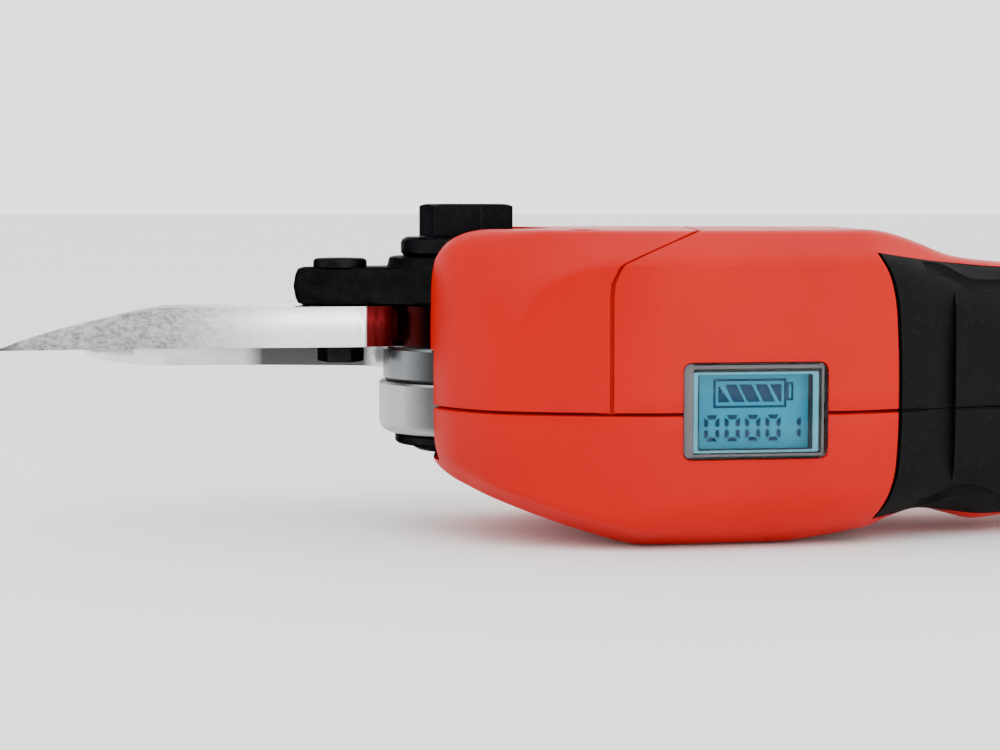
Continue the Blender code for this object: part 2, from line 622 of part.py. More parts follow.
# ---------------------------------------------------------------- controls
def make_controls():
    tool = prism(TRIGGER_OUTLINE, *TRIGGER_Z)
    trigger = add_object("trigger", tool, "black_plastic")
    cut(trigger, add_object("cut_trigger_bore", placed(rod(2.08, -40, 40), at(*TRIGGER_PIN))))
    set_origin(trigger, *TRIGGER_PIN, sum(TRIGGER_Z) / 2)
    add_object("trigger_pin", placed(rod(2.0, -9.0, 17.0), at(*TRIGGER_PIN)), "zinc_steel")
    turns = []
    for k in range(37):
        a = 2 * math.pi * k / 12
        turns.append((TRIGGER_PIN[0] + 3.4 * math.cos(a), TRIGGER_PIN[1] + 3.4 * math.sin(a),
                      9.2 + 3.6 * k / 36))
    add_object("trigger_spring", tube(turns, 0.45, 6), "zinc_steel")
    add_object("trigger_sensor", box((106.5, 2.5, -1.0), (113.5, 10.0, 7.0), 0.4), "black_plastic")
    add_object("control_board", box((42.0, -22.9, -12.0), (68.5, -21.3, 17.0)), "board")
    button = placed(turned([(0, 24.0), (5.5, 24.0), (5.5, 30.4), (4.7, 31.0), (0, 31.0)],
                           SMALL_ROUND), at(46, 0, 14) @ ALONG_Y)
    add_object("power_button", button, "black_plastic")


def tube(path, radius, count):
    rings = []
    points = [Vector(p) for p in path]
    for k, point in enumerate(points):
        ahead = points[min(k + 1, len(points) - 1)]
        behind = points[max(k - 1, 0)]
        along = (ahead - behind).normalized()
        side = along.cross(Vector((0, 0, 1))).normalized()
        up = side.cross(along)
        rings.append([point + side * radius * c + up * radius * s for c, s in circle(1, count)])
    return loft(rings)


def smooth_path(path, steps):
    """Points of a Catmull-Rom curve through the given ones."""
    ends = [path[0], *path, path[-1]]
    out = []
    for a, b, c, d in zip(ends, ends[1:], ends[2:], ends[3:]):
        for k in range(steps):
            t = k / steps
            out.append(tuple(0.5 * (2 * q + (r - p) * t + (2 * p - 5 * q + 4 * r - s) * t * t
                                    + (3 * q - p - 3 * r + s) * t ** 3)
                             for p, q, r, s in zip(a, b, c, d)))
    out.append(tuple(path[-1]))
    return out


def make_guard():
    middle = smooth_path(GUARD_PATH, 3)
    inner, outer = [], []
    for k, point in enumerate(middle):
        ahead = middle[min(k + 1, len(middle) - 1)]
        behind = middle[max(k - 1, 0)]
        along = (Vector(ahead) - Vector(behind)).normalized()
        normal = Vector((-along.y, along.x)) * GUARD_THICK / 2
        inner.append(tuple(Vector(point) - normal))
        outer.append(tuple(Vector(point) + normal))
    centre = sum(TRIGGER_Z) / 2
    guard = prism(inner + outer[::-1], centre - GUARD_WIDTH / 2, centre + GUARD_WIDTH / 2)
    made = add_object("trigger_guard", guard, "black_plastic")
    foot_a = tool_box("add_foot_front", (52.0, 30.4, centre - 5.5), (64.0, 34.0, centre + 5.5))
    made_foot = placed(box((-6, 0.4, -5.5), (6, 4.0, 5.5)),
                       at(121.6, 33.25, centre) @ Matrix.Rotation(math.radians(26.3), 4, "Z"))
    foot_b = add_object("add_foot_rear", made_foot)
    join(made, foot_a, foot_b)


# ---------------------------------------------------------------- battery
battery_frame = at(*BATTERY_AT) @ Matrix.Rotation(HANDLE_TILT, 4, "Z")


def battery_box(name, low, high, look=None, bevel=0.0):
    """A block in the battery's frame: u along the handle, v towards the belly, z up."""
    return add_object(name, placed(box(low, high, bevel), battery_frame), look)


def battery_rod(name, radius, low, high, v, z, look=None, count=24):
    shape = placed(rod(radius, low, high, count), battery_frame @ at(0, v, z) @ ALONG_X)
    return add_object(name, shape, look)


def make_battery():
    half, left, right = BATTERY_HALF, BATTERY_LEFT, BATTERY_RIGHT
    lid_at = BATTERY_LENGTH - 6
    case = battery_box("battery_case", (0.5, -half, right), (lid_at, half, left), "black_plastic", 3)
    nose = battery_box("add_nose", (-20, -12, -9), (3, 12, 12))
    hollow = battery_box("cut_cells", (3, -half + 2.4, right + 2.6), (lid_at + 5, half - 2.4,
                                                                     left - 2.6))
    nose_hollow = battery_box("cut_nose", (-17.5, -9.5, -6.5), (8, 9.5, 9.5))
    latch_hole = battery_box("cut_latch", (8.7, -half - 5, -6.3), (22.3, -half + 6, 8.8))
    join(case, nose)
    cut(case, hollow, nose_hollow, latch_hole)
    lid = battery_box("battery_lid", (lid_at + GAP, -half, right), (BATTERY_LENGTH, half, left),
                      "black_plastic", 2)
    corners = [(v, z) for v in (-half + 5.5, half - 5.5) for z in (right + 6.5, left - 6.5)]
    for k, (v, z) in enumerate(corners, 1):
        hole = stepped(3.2, 1.8, BATTERY_LENGTH + 5, BATTERY_LENGTH - 2.6, lid_at - 5)
        seat = battery_frame @ at(0, v, z) @ ALONG_X
        cut(lid, add_object(f"cut_battery_screw_{k}", placed(hole, seat)))
        head = [(0, lid_at + 1.0), (1.5, lid_at + 1.0), (1.5, BATTERY_LENGTH - 2.3),
                (2.9, BATTERY_LENGTH - 2.3), (2.9, BATTERY_LENGTH - 0.8),
                (0, BATTERY_LENGTH - 0.8)]
        add_object(f"battery_screw_{k}", placed(turned(head, 12), seat), "dark_steel")
    middle = (left + right) / 2
    offsets = [(v, middle + z) for v in (-11.0, 11.0) for z in (-11.2, 11.2)]
    for k, (v, z) in enumerate(offsets, 1):
        battery_rod(f"cell_{k}", CELL_R, 4.0, 4.0 + CELL_LENGTH, v, z, "cell_wrap")
    battery_box("battery_contacts", (-16.5, -8.5, -5.5), (-9.0, 8.5, 8.5), "copper", 0.4)
    battery_box("latch_button", (9.0, -half - 0.8, -6.0), (22.0, -half + 2.0, 8.5), "rubber", 0.6)
    battery_box("battery_dock", (-26.0, -13.0, -9.5), (-21.0, 13.0, 12.5), "black_plastic", 0.4)


# ---------------------------------------------------------------- screws
def make_screws():
    for k, place in enumerate(BODY_SCREWS + HANDLE_SCREWS, 1):
        headed_screw(f"shell_screw_{k}", place, 3.2, 2.2, 1.6, -14.6, 11.6)
    for k, place in enumerate(COVER_SCREWS, 1):
        headed_screw(f"cover_screw_{k}", place, 3.2, 2.2, 1.6, 28.3 + GAP, -11.6)
    for k, place in enumerate(HOOK_SCREWS, 1):
        headed_screw(f"hook_screw_{k}", place, 4.3, 2.3, 2.5, HOOK_TOP + GAP, -2.0)


make_gear_housing()
make_hook()
make_pivot()
make_arm(*make_blade())
make_blade_fixings()
make_drive()
make_controls()
make_guard()
make_battery()
make_screws()


# ---------------------------------------------------------------- place on the floor
def settle():
    """Move the whole tool so that it rests on z = 0 with its footprint centred."""
    bpy.context.view_layer.update()
    graph = bpy.context.evaluated_depsgraph_get()
    points = []
    for made in parts.objects:
        if made.type == "MESH":
            shown = made.evaluated_get(graph)
            points += [made.matrix_world @ Vector(corner) for corner in shown.bound_box]
    low = [min(p[k] for p in points) for k in range(3)]
    high = [max(p[k] for p in points) for k in range(3)]
    root.location = (-(low[0] + high[0]) / 2, -(low[1] + high[1]) / 2, -low[2])
    bpy.context.view_layer.update()


settle()
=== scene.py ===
"""Looks for the cordless bypass cutter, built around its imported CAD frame.

Shapes are worked out in millimetres in the tool's own frame: the blade's pivot line is x = y = 0,
the two halves of the body meet at z = 0, +X runs from the blades to the battery, +Y from the spine
to the trigger and +Z to the tool's left side. add_piece() moves them onto the CAD frame.
"""
import bisect
import math

import bmesh
import bpy
from mathutils import Matrix, Vector
from mathutils.bvhtree import BVHTree


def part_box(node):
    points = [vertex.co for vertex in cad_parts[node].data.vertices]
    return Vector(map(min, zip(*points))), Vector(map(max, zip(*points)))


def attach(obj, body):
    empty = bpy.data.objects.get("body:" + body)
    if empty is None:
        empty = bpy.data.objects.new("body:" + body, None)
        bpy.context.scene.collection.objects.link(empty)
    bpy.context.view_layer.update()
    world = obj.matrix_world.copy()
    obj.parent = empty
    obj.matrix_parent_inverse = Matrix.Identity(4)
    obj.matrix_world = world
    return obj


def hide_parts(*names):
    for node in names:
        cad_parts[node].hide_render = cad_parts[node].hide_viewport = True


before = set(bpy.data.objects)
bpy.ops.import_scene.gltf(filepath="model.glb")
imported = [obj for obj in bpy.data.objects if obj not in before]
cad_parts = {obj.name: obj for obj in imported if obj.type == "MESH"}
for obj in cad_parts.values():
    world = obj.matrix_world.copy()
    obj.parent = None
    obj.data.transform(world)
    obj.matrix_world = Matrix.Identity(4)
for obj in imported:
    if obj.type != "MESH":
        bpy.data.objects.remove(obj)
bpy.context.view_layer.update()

MM = 0.001
bush_low, bush_high = (Vector(corner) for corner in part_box("pivot_bush"))
washer_low = Vector(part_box("pivot_washer")[0])
WASHER_BOTTOM, WASHER_TOP = 29.8, 33.2
ORIGIN = Vector(((bush_low.x + bush_high.x) / 2, (bush_low.y + bush_high.y) / 2,
                 washer_low.z - WASHER_BOTTOM * MM))
PLACE = Matrix.Translation(ORIGIN) @ Matrix.Scale(MM, 4)

# ---- body shape
# One row per cross-section: spine x, y, belly x, y, left z, right z, then the left and the right
# long chamfer (across, down) with the rounding of its upper crease.
STATIONS = (
    (-6.8, -15.5, -6.8, 15.5, 28.0, -10.0, 3.0, 2.0, 3.0, 3.0, 3.0, 2.5),
    (-5.6, -18.6, -5.6, 18.5, 30.5, -11.9, 5.0, 3.0, 5.0, 3.2, 3.6, 2.5),
    (-2.9, -23.0, -2.9, 22.5, 33.0, -13.8, 9.0, 4.6, 8.0, 3.4, 4.6, 2.0),
    (0.5, -26.6, 0.5, 25.5, 34.5, -15.4, 14.0, 6.6, 12.0, 3.6, 5.6, 1.5),
    (6.0, -30.8, 5.0, 27.5, 35.0, -17.6, 17.0, 9.0, 12.0, 3.4, 6.6, 1.2),
    (15.0, -33.5, 14.0, 29.0, 35.0, -21.0, 10.5, 10.5, 2.0, 3.6, 8.0, 1.2),
    (25.0, -35.2, 24.0, 29.7, 35.0, -24.2, 6.6, 9.8, 1.0, 4.0, 9.0, 1.6),
    (35.0, -36.0, 35.0, 30.0, 35.0, -26.5, 6.0, 9.5, 1.2, 4.6, 9.5, 3.5),
    (44.0, -35.2, 46.0, 30.0, 35.0, -26.5, 6.0, 9.5, 1.5, 5.2, 9.5, 5.0),
    (60.0, -32.9, 60.0, 29.5, 35.0, -26.5, 6.0, 9.5, 1.8, 5.6, 9.5, 6.0),
    (72.0, -31.1, 70.0, 28.5, 35.0, -25.2, 6.0, 9.5, 2.0, 5.6, 9.5, 6.0),
    (79.0, -29.0, 76.0, 27.0, 35.0, -24.3, 6.0, 9.0, 2.5, 5.4, 9.0, 6.0),
    (85.0, -26.4, 80.0, 25.0, 34.3, -22.3, 6.5, 9.0, 3.5, 5.4, 9.0, 6.0),
    (92.0, -23.4, 84.0, 23.5, 32.3, -20.9, 7.0, 9.0, 5.0, 5.6, 9.0, 6.0),
    (99.0, -20.4, 88.0, 22.5, 30.0, -21.8, 7.5, 9.0, 6.0, 6.5, 9.0, 6.5),
    (107.0, -17.2, 92.5, 22.4, 28.8, -23.8, 8.0, 9.0, 7.0, 7.5, 9.0, 7.0),
    (118.0, -12.4, 100.0, 23.6, 28.0, -23.0, 8.5, 9.0, 8.0, 8.0, 9.0, 8.0),
    (135.0, -4.0, 116.0, 30.5, 27.0, -21.5, 8.5, 9.0, 8.0, 8.0, 9.0, 8.0),
    (155.0, 6.5, 137.0, 40.8, 26.5, -20.5, 8.0, 9.0, 8.0, 8.0, 9.0, 8.0),
    (168.0, 13.4, 150.0, 47.7, 27.0, -21.5, 7.5, 8.5, 7.0, 7.5, 8.5, 7.0),
    (175.5, 14.6, 154.9, 53.2, 28.0, -24.0, 7.0, 7.5, 5.0, 7.0, 7.5, 5.0),
    (183.1, 15.0, 159.7, 59.1, 29.0, -26.2, 6.5, 6.5, 4.0, 6.5, 6.5, 4.0),
)
WALL, HANDLE_WALL = 2.5, 4.9
GRIP_DEPTH = 2.4
HANDLE_START = 11
CROWN = 0.7                  # how far the spine face falls away towards its creases
BELLY_ROUND = 9.0
SEAM_HALF, SEAM_CLOSED = 0.30, 0.02  # half the parting line's gap, outside and inside
SUB = 6                      # cross-sections worked out between two rows of STATIONS

# The gear cover's rear seam, as (x, z) from the parting line to the left face.
COVER_SEAM = ((28.3, -1.0), (28.3, 22.0), (28.4, 24.6), (28.9, 26.6), (30.4, 28.6), (34.0, 30.2),
              (40.0, 32.7), (46.3, 35.3))

# Turned stack on the pivot line
BOLT_R, HEAD_FLATS = 5.0, 17.0
BORE_R, BLADE_BORE_R = BOLT_R + 0.3, BOLT_R + 0.1
THROUGH = (-20.0, 50.0)      # low and high end of a cut right through the stack
HEAD_BOTTOM, HEAD_TOP = 33.5, 39.9
WASHER_R = 13.3
COLLAR_R, COLLAR_TOP = 16.0, 29.3
ARM_BOTTOM, ARM_TOP = 19.55, 27.2
BLADE_BOTTOM, BLADE_TOP = 11.4, 19.5
HOOK_BOTTOM, HOOK_TOP = 6.0, 11.1
HUB_R = 17.0
BOSS_R, BOSS_BOTTOM, BOSS_TOP = 17.85, -6.4, 4.05
NUT_FLANGE_R, NUT_DOME_R = 14.6, 11.5
NUT_BOTTOM, NUT_FLANGE_BOTTOM, NUT_TOP = -10.4, -8.7, -6.7
BLADE_SCREW, BLADE_SCREW_HOLE = (-25.4, -4.6), 3.3
APEX_Z = 10.0

DISPLAY_AT, DISPLAY_TILT, DISPLAY_Z = (56.0, -33.5), math.radians(8.2), 0.55
DISPLAY_SIZE = (28.0, 18.3)
BATTERY_AT, HANDLE_TILT = (171.4, 37.05), math.radians(28.0)
BATTERY_LENGTH, BATTERY_HALF, BATTERY_LEFT, BATTERY_RIGHT = 76.0, 25.0, 29.0, -26.5


# ---- mesh helpers
def new_object(name, data):
    made = bpy.data.objects.new(name, data)
    bpy.context.scene.collection.objects.link(made)
    return made


def add_piece(name, shape, look, stands_for=None, body="body", smooth=30):
    """Turn a bmesh in tool millimetres into a piece riding on a CAD body.

    stands_for names the CAD node it takes the place of; edges sharper than smooth degrees stay
    sharp.
    """
    bmesh.ops.recalc_face_normals(shape, faces=shape.faces)
    bmesh.ops.transform(shape, matrix=PLACE, verts=shape.verts)
    mesh = bpy.data.meshes.new(name)
    shape.to_mesh(mesh)
    shape.free()
    piece = new_object(name, mesh)
    mesh.materials.append(look)
    shade(mesh, smooth)
    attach(piece, body)
    if stands_for:
        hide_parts(stands_for)


def shade(mesh, angle):
    """Smooth faces, with an edge left sharp where its faces meet at more than the angle."""
    limit = math.radians(angle)
    shape = bmesh.new()
    shape.from_mesh(mesh)
    for face in shape.faces:
        face.smooth = True
    for edge in shape.edges:
        edge.smooth = len(edge.link_faces) != 2 or edge.calc_face_angle(0.0) < limit
    shape.to_mesh(mesh)
    shape.free()


def loft(rings, caps=True):
    shape = bmesh.new()
    rows = [[shape.verts.new(point) for point in ring] for ring in rings]
    count = len(rows[0])
    for low, high in zip(rows, rows[1:]):
        for k in range(count):
            shape.faces.new((low[k], low[(k + 1) % count], high[(k + 1) % count], high[k]))
    if caps:
        ends = [shape.faces.new(rows[0][::-1]), shape.faces.new(rows[-1])]
        if count > 80:
            bmesh.ops.triangulate(shape, faces=ends)
    return shape


def circle(radius, count, centre=(0.0, 0.0), start=0.0):
    angles = [start + 2 * math.pi * k / count for k in range(count)]
    return [(centre[0] + radius * math.cos(a), centre[1] + radius * math.sin(a)) for a in angles]


def arc(radius, start, end, count, centre=(0.0, 0.0)):
    steps = [math.radians(start + (end - start) * k / (count - 1)) for k in range(count)]
    return [(centre[0] + radius * math.cos(a), centre[1] + radius * math.sin(a)) for a in steps]


def turned(profile, count=96, closed=False, centre=(0.0, 0.0)):
    """Revolve (radius, z) points about a vertical line; a closed profile makes a ring."""
    shape = bmesh.new()
    rows = []
    for radius, z in profile:
        ring = circle(radius, count, centre) if radius > 0 else [centre]
        rows.append([shape.verts.new((x, y, z)) for x, y in ring])
    pairs = list(zip(rows, rows[1:]))
    if closed:
        pairs.append((rows[-1], rows[0]))
    for low, high in pairs:
        for k in range(count):
            n = (k + 1) % count
            if len(low) == 1:
                shape.faces.new((low[0], high[n], high[k]))
            elif len(high) == 1:
                shape.faces.new((low[k], low[n], high[0]))
            else:
                shape.faces.new((low[k], low[n], high[n], high[k]))
    return shape


def rounded(corners, closed=False, steps=5):
    """Round the corners of a path given as (x, y, radius)."""
    out = []
    count = len(corners)
    for k, (x, y, radius) in enumerate(corners):
        here = Vector((x, y))
        if not radius or (not closed and k in (0, count - 1)):
            out += [tuple(here)] * (steps + 1 if closed else 1)
            continue
        before = Vector(corners[k - 1][:2])
        after = Vector(corners[(k + 1) % count][:2])
        reach = min(radius, 0.48 * (before - here).length, 0.48 * (after - here).length)
        a = here + (before - here).normalized() * reach
        b = here + (after - here).normalized() * reach
        for n in range(steps + 1):
            t = n / steps
            out.append(tuple(a.lerp(here, t).lerp(here.lerp(b, t), t)))
    return out


def box(low, high, bevel=0.0, segments=3):
    shape = bmesh.new()
    bmesh.ops.create_cube(shape, size=1.0)
    bmesh.ops.scale(shape, vec=[b - a for a, b in zip(low, high)], verts=shape.verts)
    bmesh.ops.translate(shape, vec=[(a + b) / 2 for a, b in zip(low, high)], verts=shape.verts)
    if bevel:
        bmesh.ops.bevel(shape, geom=shape.edges[:], offset=bevel, segments=segments,
                        profile=0.5, affect="EDGES")
    return shape


def plate(outline, low, high, bevel=0.4, segments=3):
    """A flat part cut from sheet, with rounded rims."""
    shape = loft([[(x, y, z) for x, y in outline] for z in (low, high)])
    if bevel:
        rims = [e for e in shape.edges if abs(e.verts[0].co.z - e.verts[1].co.z) < 1e-6]
        bmesh.ops.bevel(shape, geom=rims, offset=bevel, segments=segments, profile=0.5,
                        affect="EDGES", clamp_overlap=True)
    return shape


def placed(shape, matrix):
    bmesh.ops.transform(shape, matrix=matrix, verts=shape.verts)
    return shape


def merged(*shapes):
    """Several closed bodies of one piece in one bmesh."""
    out = shapes[0]
    for other in shapes[1:]:
        mesh = bpy.data.meshes.new("merge")
        other.to_mesh(mesh)
        other.free()
        out.from_mesh(mesh)
        bpy.data.meshes.remove(mesh)
    return out


def boolean(shape, cutter, operation="DIFFERENCE"):
    """Cut or join two closed bmeshes with the exact solver."""
    holders = []
    for source in (shape, cutter):
        bmesh.ops.recalc_face_normals(source, faces=source.faces)
        mesh = bpy.data.meshes.new("solid")
        source.to_mesh(mesh)
        holders.append(new_object("solid", mesh))
    step = holders[0].modifiers.new("cut", "BOOLEAN")
    step.operation, step.solver, step.object = operation, "EXACT", holders[1]
    bpy.context.view_layer.update()
    made = holders[0].evaluated_get(bpy.context.evaluated_depsgraph_get()).to_mesh()
    shape.clear()
    shape.from_mesh(made)
    for holder in holders:
        mesh = holder.data
        bpy.data.objects.remove(holder, do_unlink=True)
        bpy.data.meshes.remove(mesh)
    cutter.free()
    return shape


def at(x, y, z=0.0):
    return Matrix.Translation((x, y, z))


ALONG_X = Matrix.Rotation(math.radians(90), 4, "Y")
ALONG_Y = Matrix.Rotation(math.radians(-90), 4, "X")


# ---- materials
DEEP_SHADOW = (0.03, 0.03, 0.031)
BLACK_METAL = 0.05           # metals darker than this keep a dark rim as well


def new_material(name, colour, roughness, metallic=0.0, gloss=0.5):
    made = bpy.data.materials.new(name)
    made.use_nodes = True
    shader = made.node_tree.nodes["Principled BSDF"]
    shader.inputs["Base Color"].default_value = (*colour, 1.0)
    shader.inputs["Roughness"].default_value = roughness
    shader.inputs["Metallic"].default_value = metallic
    shader.inputs["Specular IOR Level"].default_value = gloss
    return made, made.node_tree, shader


def node(tree, kind, **values):
    made = tree.nodes.new(kind)
    for key, value in values.items():
        if key in made.inputs:
            made.inputs[key].default_value = value
        else:
            setattr(made, key, value)
    return made


def feed(target, socket, source):
    """Link an output into a named or numbered socket of a node."""
    target.id_data.links.new(source, target.inputs[socket])


def coordinates(tree, scale=(1.0, 1.0, 1.0)):
    source = node(tree, "ShaderNodeTexCoord")
    mapping = node(tree, "ShaderNodeMapping")
    mapping.inputs["Scale"].default_value = scale
    feed(mapping, "Vector", source.outputs["Object"])
    return mapping.outputs["Vector"]


def noise_at(tree, vector, scale, detail=3.0, roughness=0.55):
    made = node(tree, "ShaderNodeTexNoise")
    made.inputs["Scale"].default_value = scale
    made.inputs["Detail"].default_value = detail
    made.inputs["Roughness"].default_value = roughness
    feed(made, "Vector", vector)
    return made.outputs["Fac"]


def ramp(tree, factor, stops):
    made = node(tree, "ShaderNodeValToRGB")
    while len(made.color_ramp.elements) < len(stops):
        made.color_ramp.elements.new(0.5)
    for element, (place, colour) in zip(made.color_ramp.elements, stops):
        element.position = place
        element.color = (*colour, 1.0) if isinstance(colour, tuple) else (colour,) * 3 + (1.0,)
    feed(made, "Fac", factor)
    return made.outputs["Color"]


def spread(tree, factor, low, high, to_low, to_high):
    made = node(tree, "ShaderNodeMapRange")
    for key, value in (("From Min", low), ("From Max", high), ("To Min", to_low),
                       ("To Max", to_high)):
        made.inputs[key].default_value = value
    feed(made, "Value", factor)
    return made.outputs["Result"]


def bump(tree, shader, height, strength, distance):
    made = node(tree, "ShaderNodeBump")
    made.inputs["Strength"].default_value = strength
    made.inputs["Distance"].default_value = distance
    feed(made, "Height", height)
    feed(shader, "Normal", made.outputs["Normal"])
    return made


def plastic(name, colour, roughness, grain=2600.0, strength=0.12, shift=0.10, gloss=0.15):
    """Moulded plastic: fine spark-eroded grain, faint cloudiness in colour and gloss."""
    made, tree, shader = new_material(name, colour, roughness, 0.0, gloss)
    vector = coordinates(tree)
    cloud = noise_at(tree, vector, 38.0, 4.0)
    dark = tuple(c * (1 - shift) for c in colour)
    light = tuple(min(1.0, c * (1 + shift)) for c in colour)
    feed(shader, "Base Color", ramp(tree, cloud, ((0.3, dark), (0.7, light))))
    smear = noise_at(tree, vector, 120.0, 5.0)
    feed(shader, "Roughness", spread(tree, smear, 0.3, 0.7, roughness - 0.05, roughness + 0.06))
    bump(tree, shader, noise_at(tree, vector, grain, 2.0), strength, 0.00006)
    return made


def metal(name, colour, roughness, scale=(1.0, 1.0, 1.0), grain=900.0, depth=0.25, contrast=0.18,
          shadow=None):
    """Machined or ground metal: stretched grain in colour, gloss and height.

    shadow is (start x, full x, darkness): faces turned to the spine side darken along the tool.
    """
    made, tree, shader = new_material(name, colour, roughness, 1.0)
    lines = noise_at(tree, coordinates(tree, scale), grain, 5.0, 0.7)
    cloud = noise_at(tree, coordinates(tree), 160.0, 4.0)
    dark = tuple(c * (1 - contrast) for c in colour)
    light = tuple(min(1.0, c * (1 + contrast)) for c in colour)
    if max(colour) < BLACK_METAL:
        shader.inputs["Specular Tint"].default_value = (0.35, 0.35, 0.36, 1.0)
    tone = ramp(tree, lines, ((0.3, dark), (0.7, light)))
    if shadow:
        tone = spine_shadow(tree, tone, *shadow)
    feed(shader, "Base Color", tone)
    feed(shader, "Roughness", spread(tree, cloud, 0.3, 0.7, roughness - 0.07, roughness + 0.09))
    bump(tree, shader, lines, depth, 0.00005)
    return made


def axis_value(tree, vector, axis):
    split = node(tree, "ShaderNodeSeparateXYZ")
    feed(split, "Vector", vector)
    return split.outputs[axis]


def blend(tree, factor, first, second):
    """Mix two colours, each a socket or a plain (r, g, b)."""
    mix = node(tree, "ShaderNodeMix", data_type="RGBA")
    feed(mix, 0, factor)
    for socket, value in ((mix.inputs[6], first), (mix.inputs[7], second)):
        if isinstance(value, tuple):
            socket.default_value = (*value, 1.0)
        else:
            tree.links.new(value, socket)
    return mix.outputs[2]


def spine_shadow(tree, tone, start, full, darkness):
    """Darken faces that look to the spine side, more so along the tool from start to full."""
    normal = node(tree, "ShaderNodeTexCoord").outputs["Normal"]
    turned_to = spread(tree, axis_value(tree, normal, "Y"), -0.70, -0.92, 0.0, 1.0)
    along = spread(tree, axis_value(tree, coordinates(tree), "X"), ORIGIN.x + start * MM,
                   ORIGIN.x + full * MM, 0.0, darkness)
    amount = node(tree, "ShaderNodeMath", operation="MULTIPLY")
    feed(amount, 0, turned_to)
    feed(amount, 1, along)
    return blend(tree, amount.outputs[0], tone, DEEP_SHADOW)


def rubber(name):
    """Overmoulded grip: near-black, matt, with fine grain and a few pale specks of dust."""
    made, tree, shader = new_material(name, (0.004, 0.005, 0.004), 0.6, 0.0, 0.07)
    vector = coordinates(tree)
    specks = node(tree, "ShaderNodeTexVoronoi")
    specks.inputs["Scale"].default_value = 800.0
    feed(specks, "Vector", vector)
    dust = ((0.0, (0.055, 0.058, 0.050)), (0.09, (0.0040, 0.0050, 0.0043)),
            (1.0, (0.0026, 0.0033, 0.0030)))
    feed(shader, "Base Color", ramp(tree, specks.outputs["Distance"], dust))
    feed(shader, "Roughness",
         spread(tree, noise_at(tree, vector, 90.0, 4.0), 0.3, 0.7, 0.46, 0.64))
    bump(tree, shader, noise_at(tree, vector, 1900.0, 3.0), 0.35, 0.00012)
    return made


# Stretches of the moving blade, as x where each change starts and ends
BLADE_CLEAN, BLADE_TIP = (-58.0, -35.0), (-90.5, -86.0)
# ROOT_START, ROOT_FADE and ROOT_END place a painted reflection of the red hood and painted shade on
# the blade's spine side.
ROOT_START, ROOT_FADE, ROOT_END = (-20.2, -19.6), (-20.0, -11.0), (-10.0, -8.0)


def blade_steel(name):
    """Ground steel: bright by the pivot, mottled towards the tip; beside the hood a painted
    reflection of the red hood that turns to painted shade.
    """
    made, tree, shader = new_material(name, (0.55, 0.55, 0.56), 0.3, 1.0)
    source = coordinates(tree)
    along, sideways = axis_value(tree, source, "X"), axis_value(tree, source, "Y")

    def reach(start, end):
        """0 up to a distance in front of the pivot line, 1 from the other one on."""
        return spread(tree, along, ORIGIN.x + start * MM, ORIGIN.x + end * MM, 0.0, 1.0)

    mottle = noise_at(tree, coordinates(tree, (0.55, 1.0, 1.0)), 1150.0, 6.0, 0.75)
    patchy = ramp(tree, mottle, ((0.34, (0.13, 0.135, 0.14)), (0.48, (0.30, 0.305, 0.31)),
                                 (0.62, (0.46, 0.465, 0.47))))
    clean = ramp(tree, noise_at(tree, coordinates(tree, (4.0, 60.0, 120.0)), 30.0, 3.0),
                 ((0.3, 0.80), (0.7, 0.90)))
    looks = blend(tree, reach(*BLADE_CLEAN), patchy, clean)
    looks = blend(tree, reach(*BLADE_TIP), (0.07, 0.07, 0.075), looks)
    # Painted reflection of the red hood, dark red further from the pivot, then black painted shade
    # by the hood's rim, on the spine side only.
    root = blend(tree, reach(*ROOT_FADE), (0.085, 0.005, 0.006), (0.028, 0.002, 0.002))
    root = blend(tree, reach(*ROOT_END), root, (0.004, 0.001, 0.001))
    spine_side = spread(tree, sideways, ORIGIN.y - 3 * MM, ORIGIN.y - 4 * MM, 0.0, 1.0)
    at_root = node(tree, "ShaderNodeMath", operation="MULTIPLY")
    feed(at_root, 0, reach(*ROOT_START))
    feed(at_root, 1, spine_side)
    looks = blend(tree, at_root.outputs[0], looks, root)
    feed(shader, "Base Color", looks)
    feed(shader, "Roughness", spread(tree, reach(*BLADE_CLEAN), 0.0, 1.0, 0.40, 0.20))
    bump(tree, shader, mottle, 0.22, 0.00006)
    return made


def clear_plastic(name):
    made, tree, shader = new_material(name, (0.97, 0.99, 1.0), 0.03)
    shader.inputs["Transmission Weight"].default_value = 1.0
    shader.inputs["IOR"].default_value = 1.17
    bump(tree, shader, noise_at(tree, coordinates(tree), 300.0, 2.0), 0.03, 0.00003)
    return made


def lcd_sheet(name, dark, light, glow):
    """Backlit liquid crystal, faintly uneven; the ink is the same sheet turned dark."""
    made, tree, shader = new_material(name, light, 0.3, 0.0, 0.05)
    cloud = noise_at(tree, coordinates(tree), 60.0, 2.0)
    tint = ramp(tree, cloud, ((0.3, dark), (0.7, light)))
    feed(shader, "Base Color", tint)
    feed(shader, "Emission Color", tint)
    shader.inputs["Emission Strength"].default_value = glow
    return made


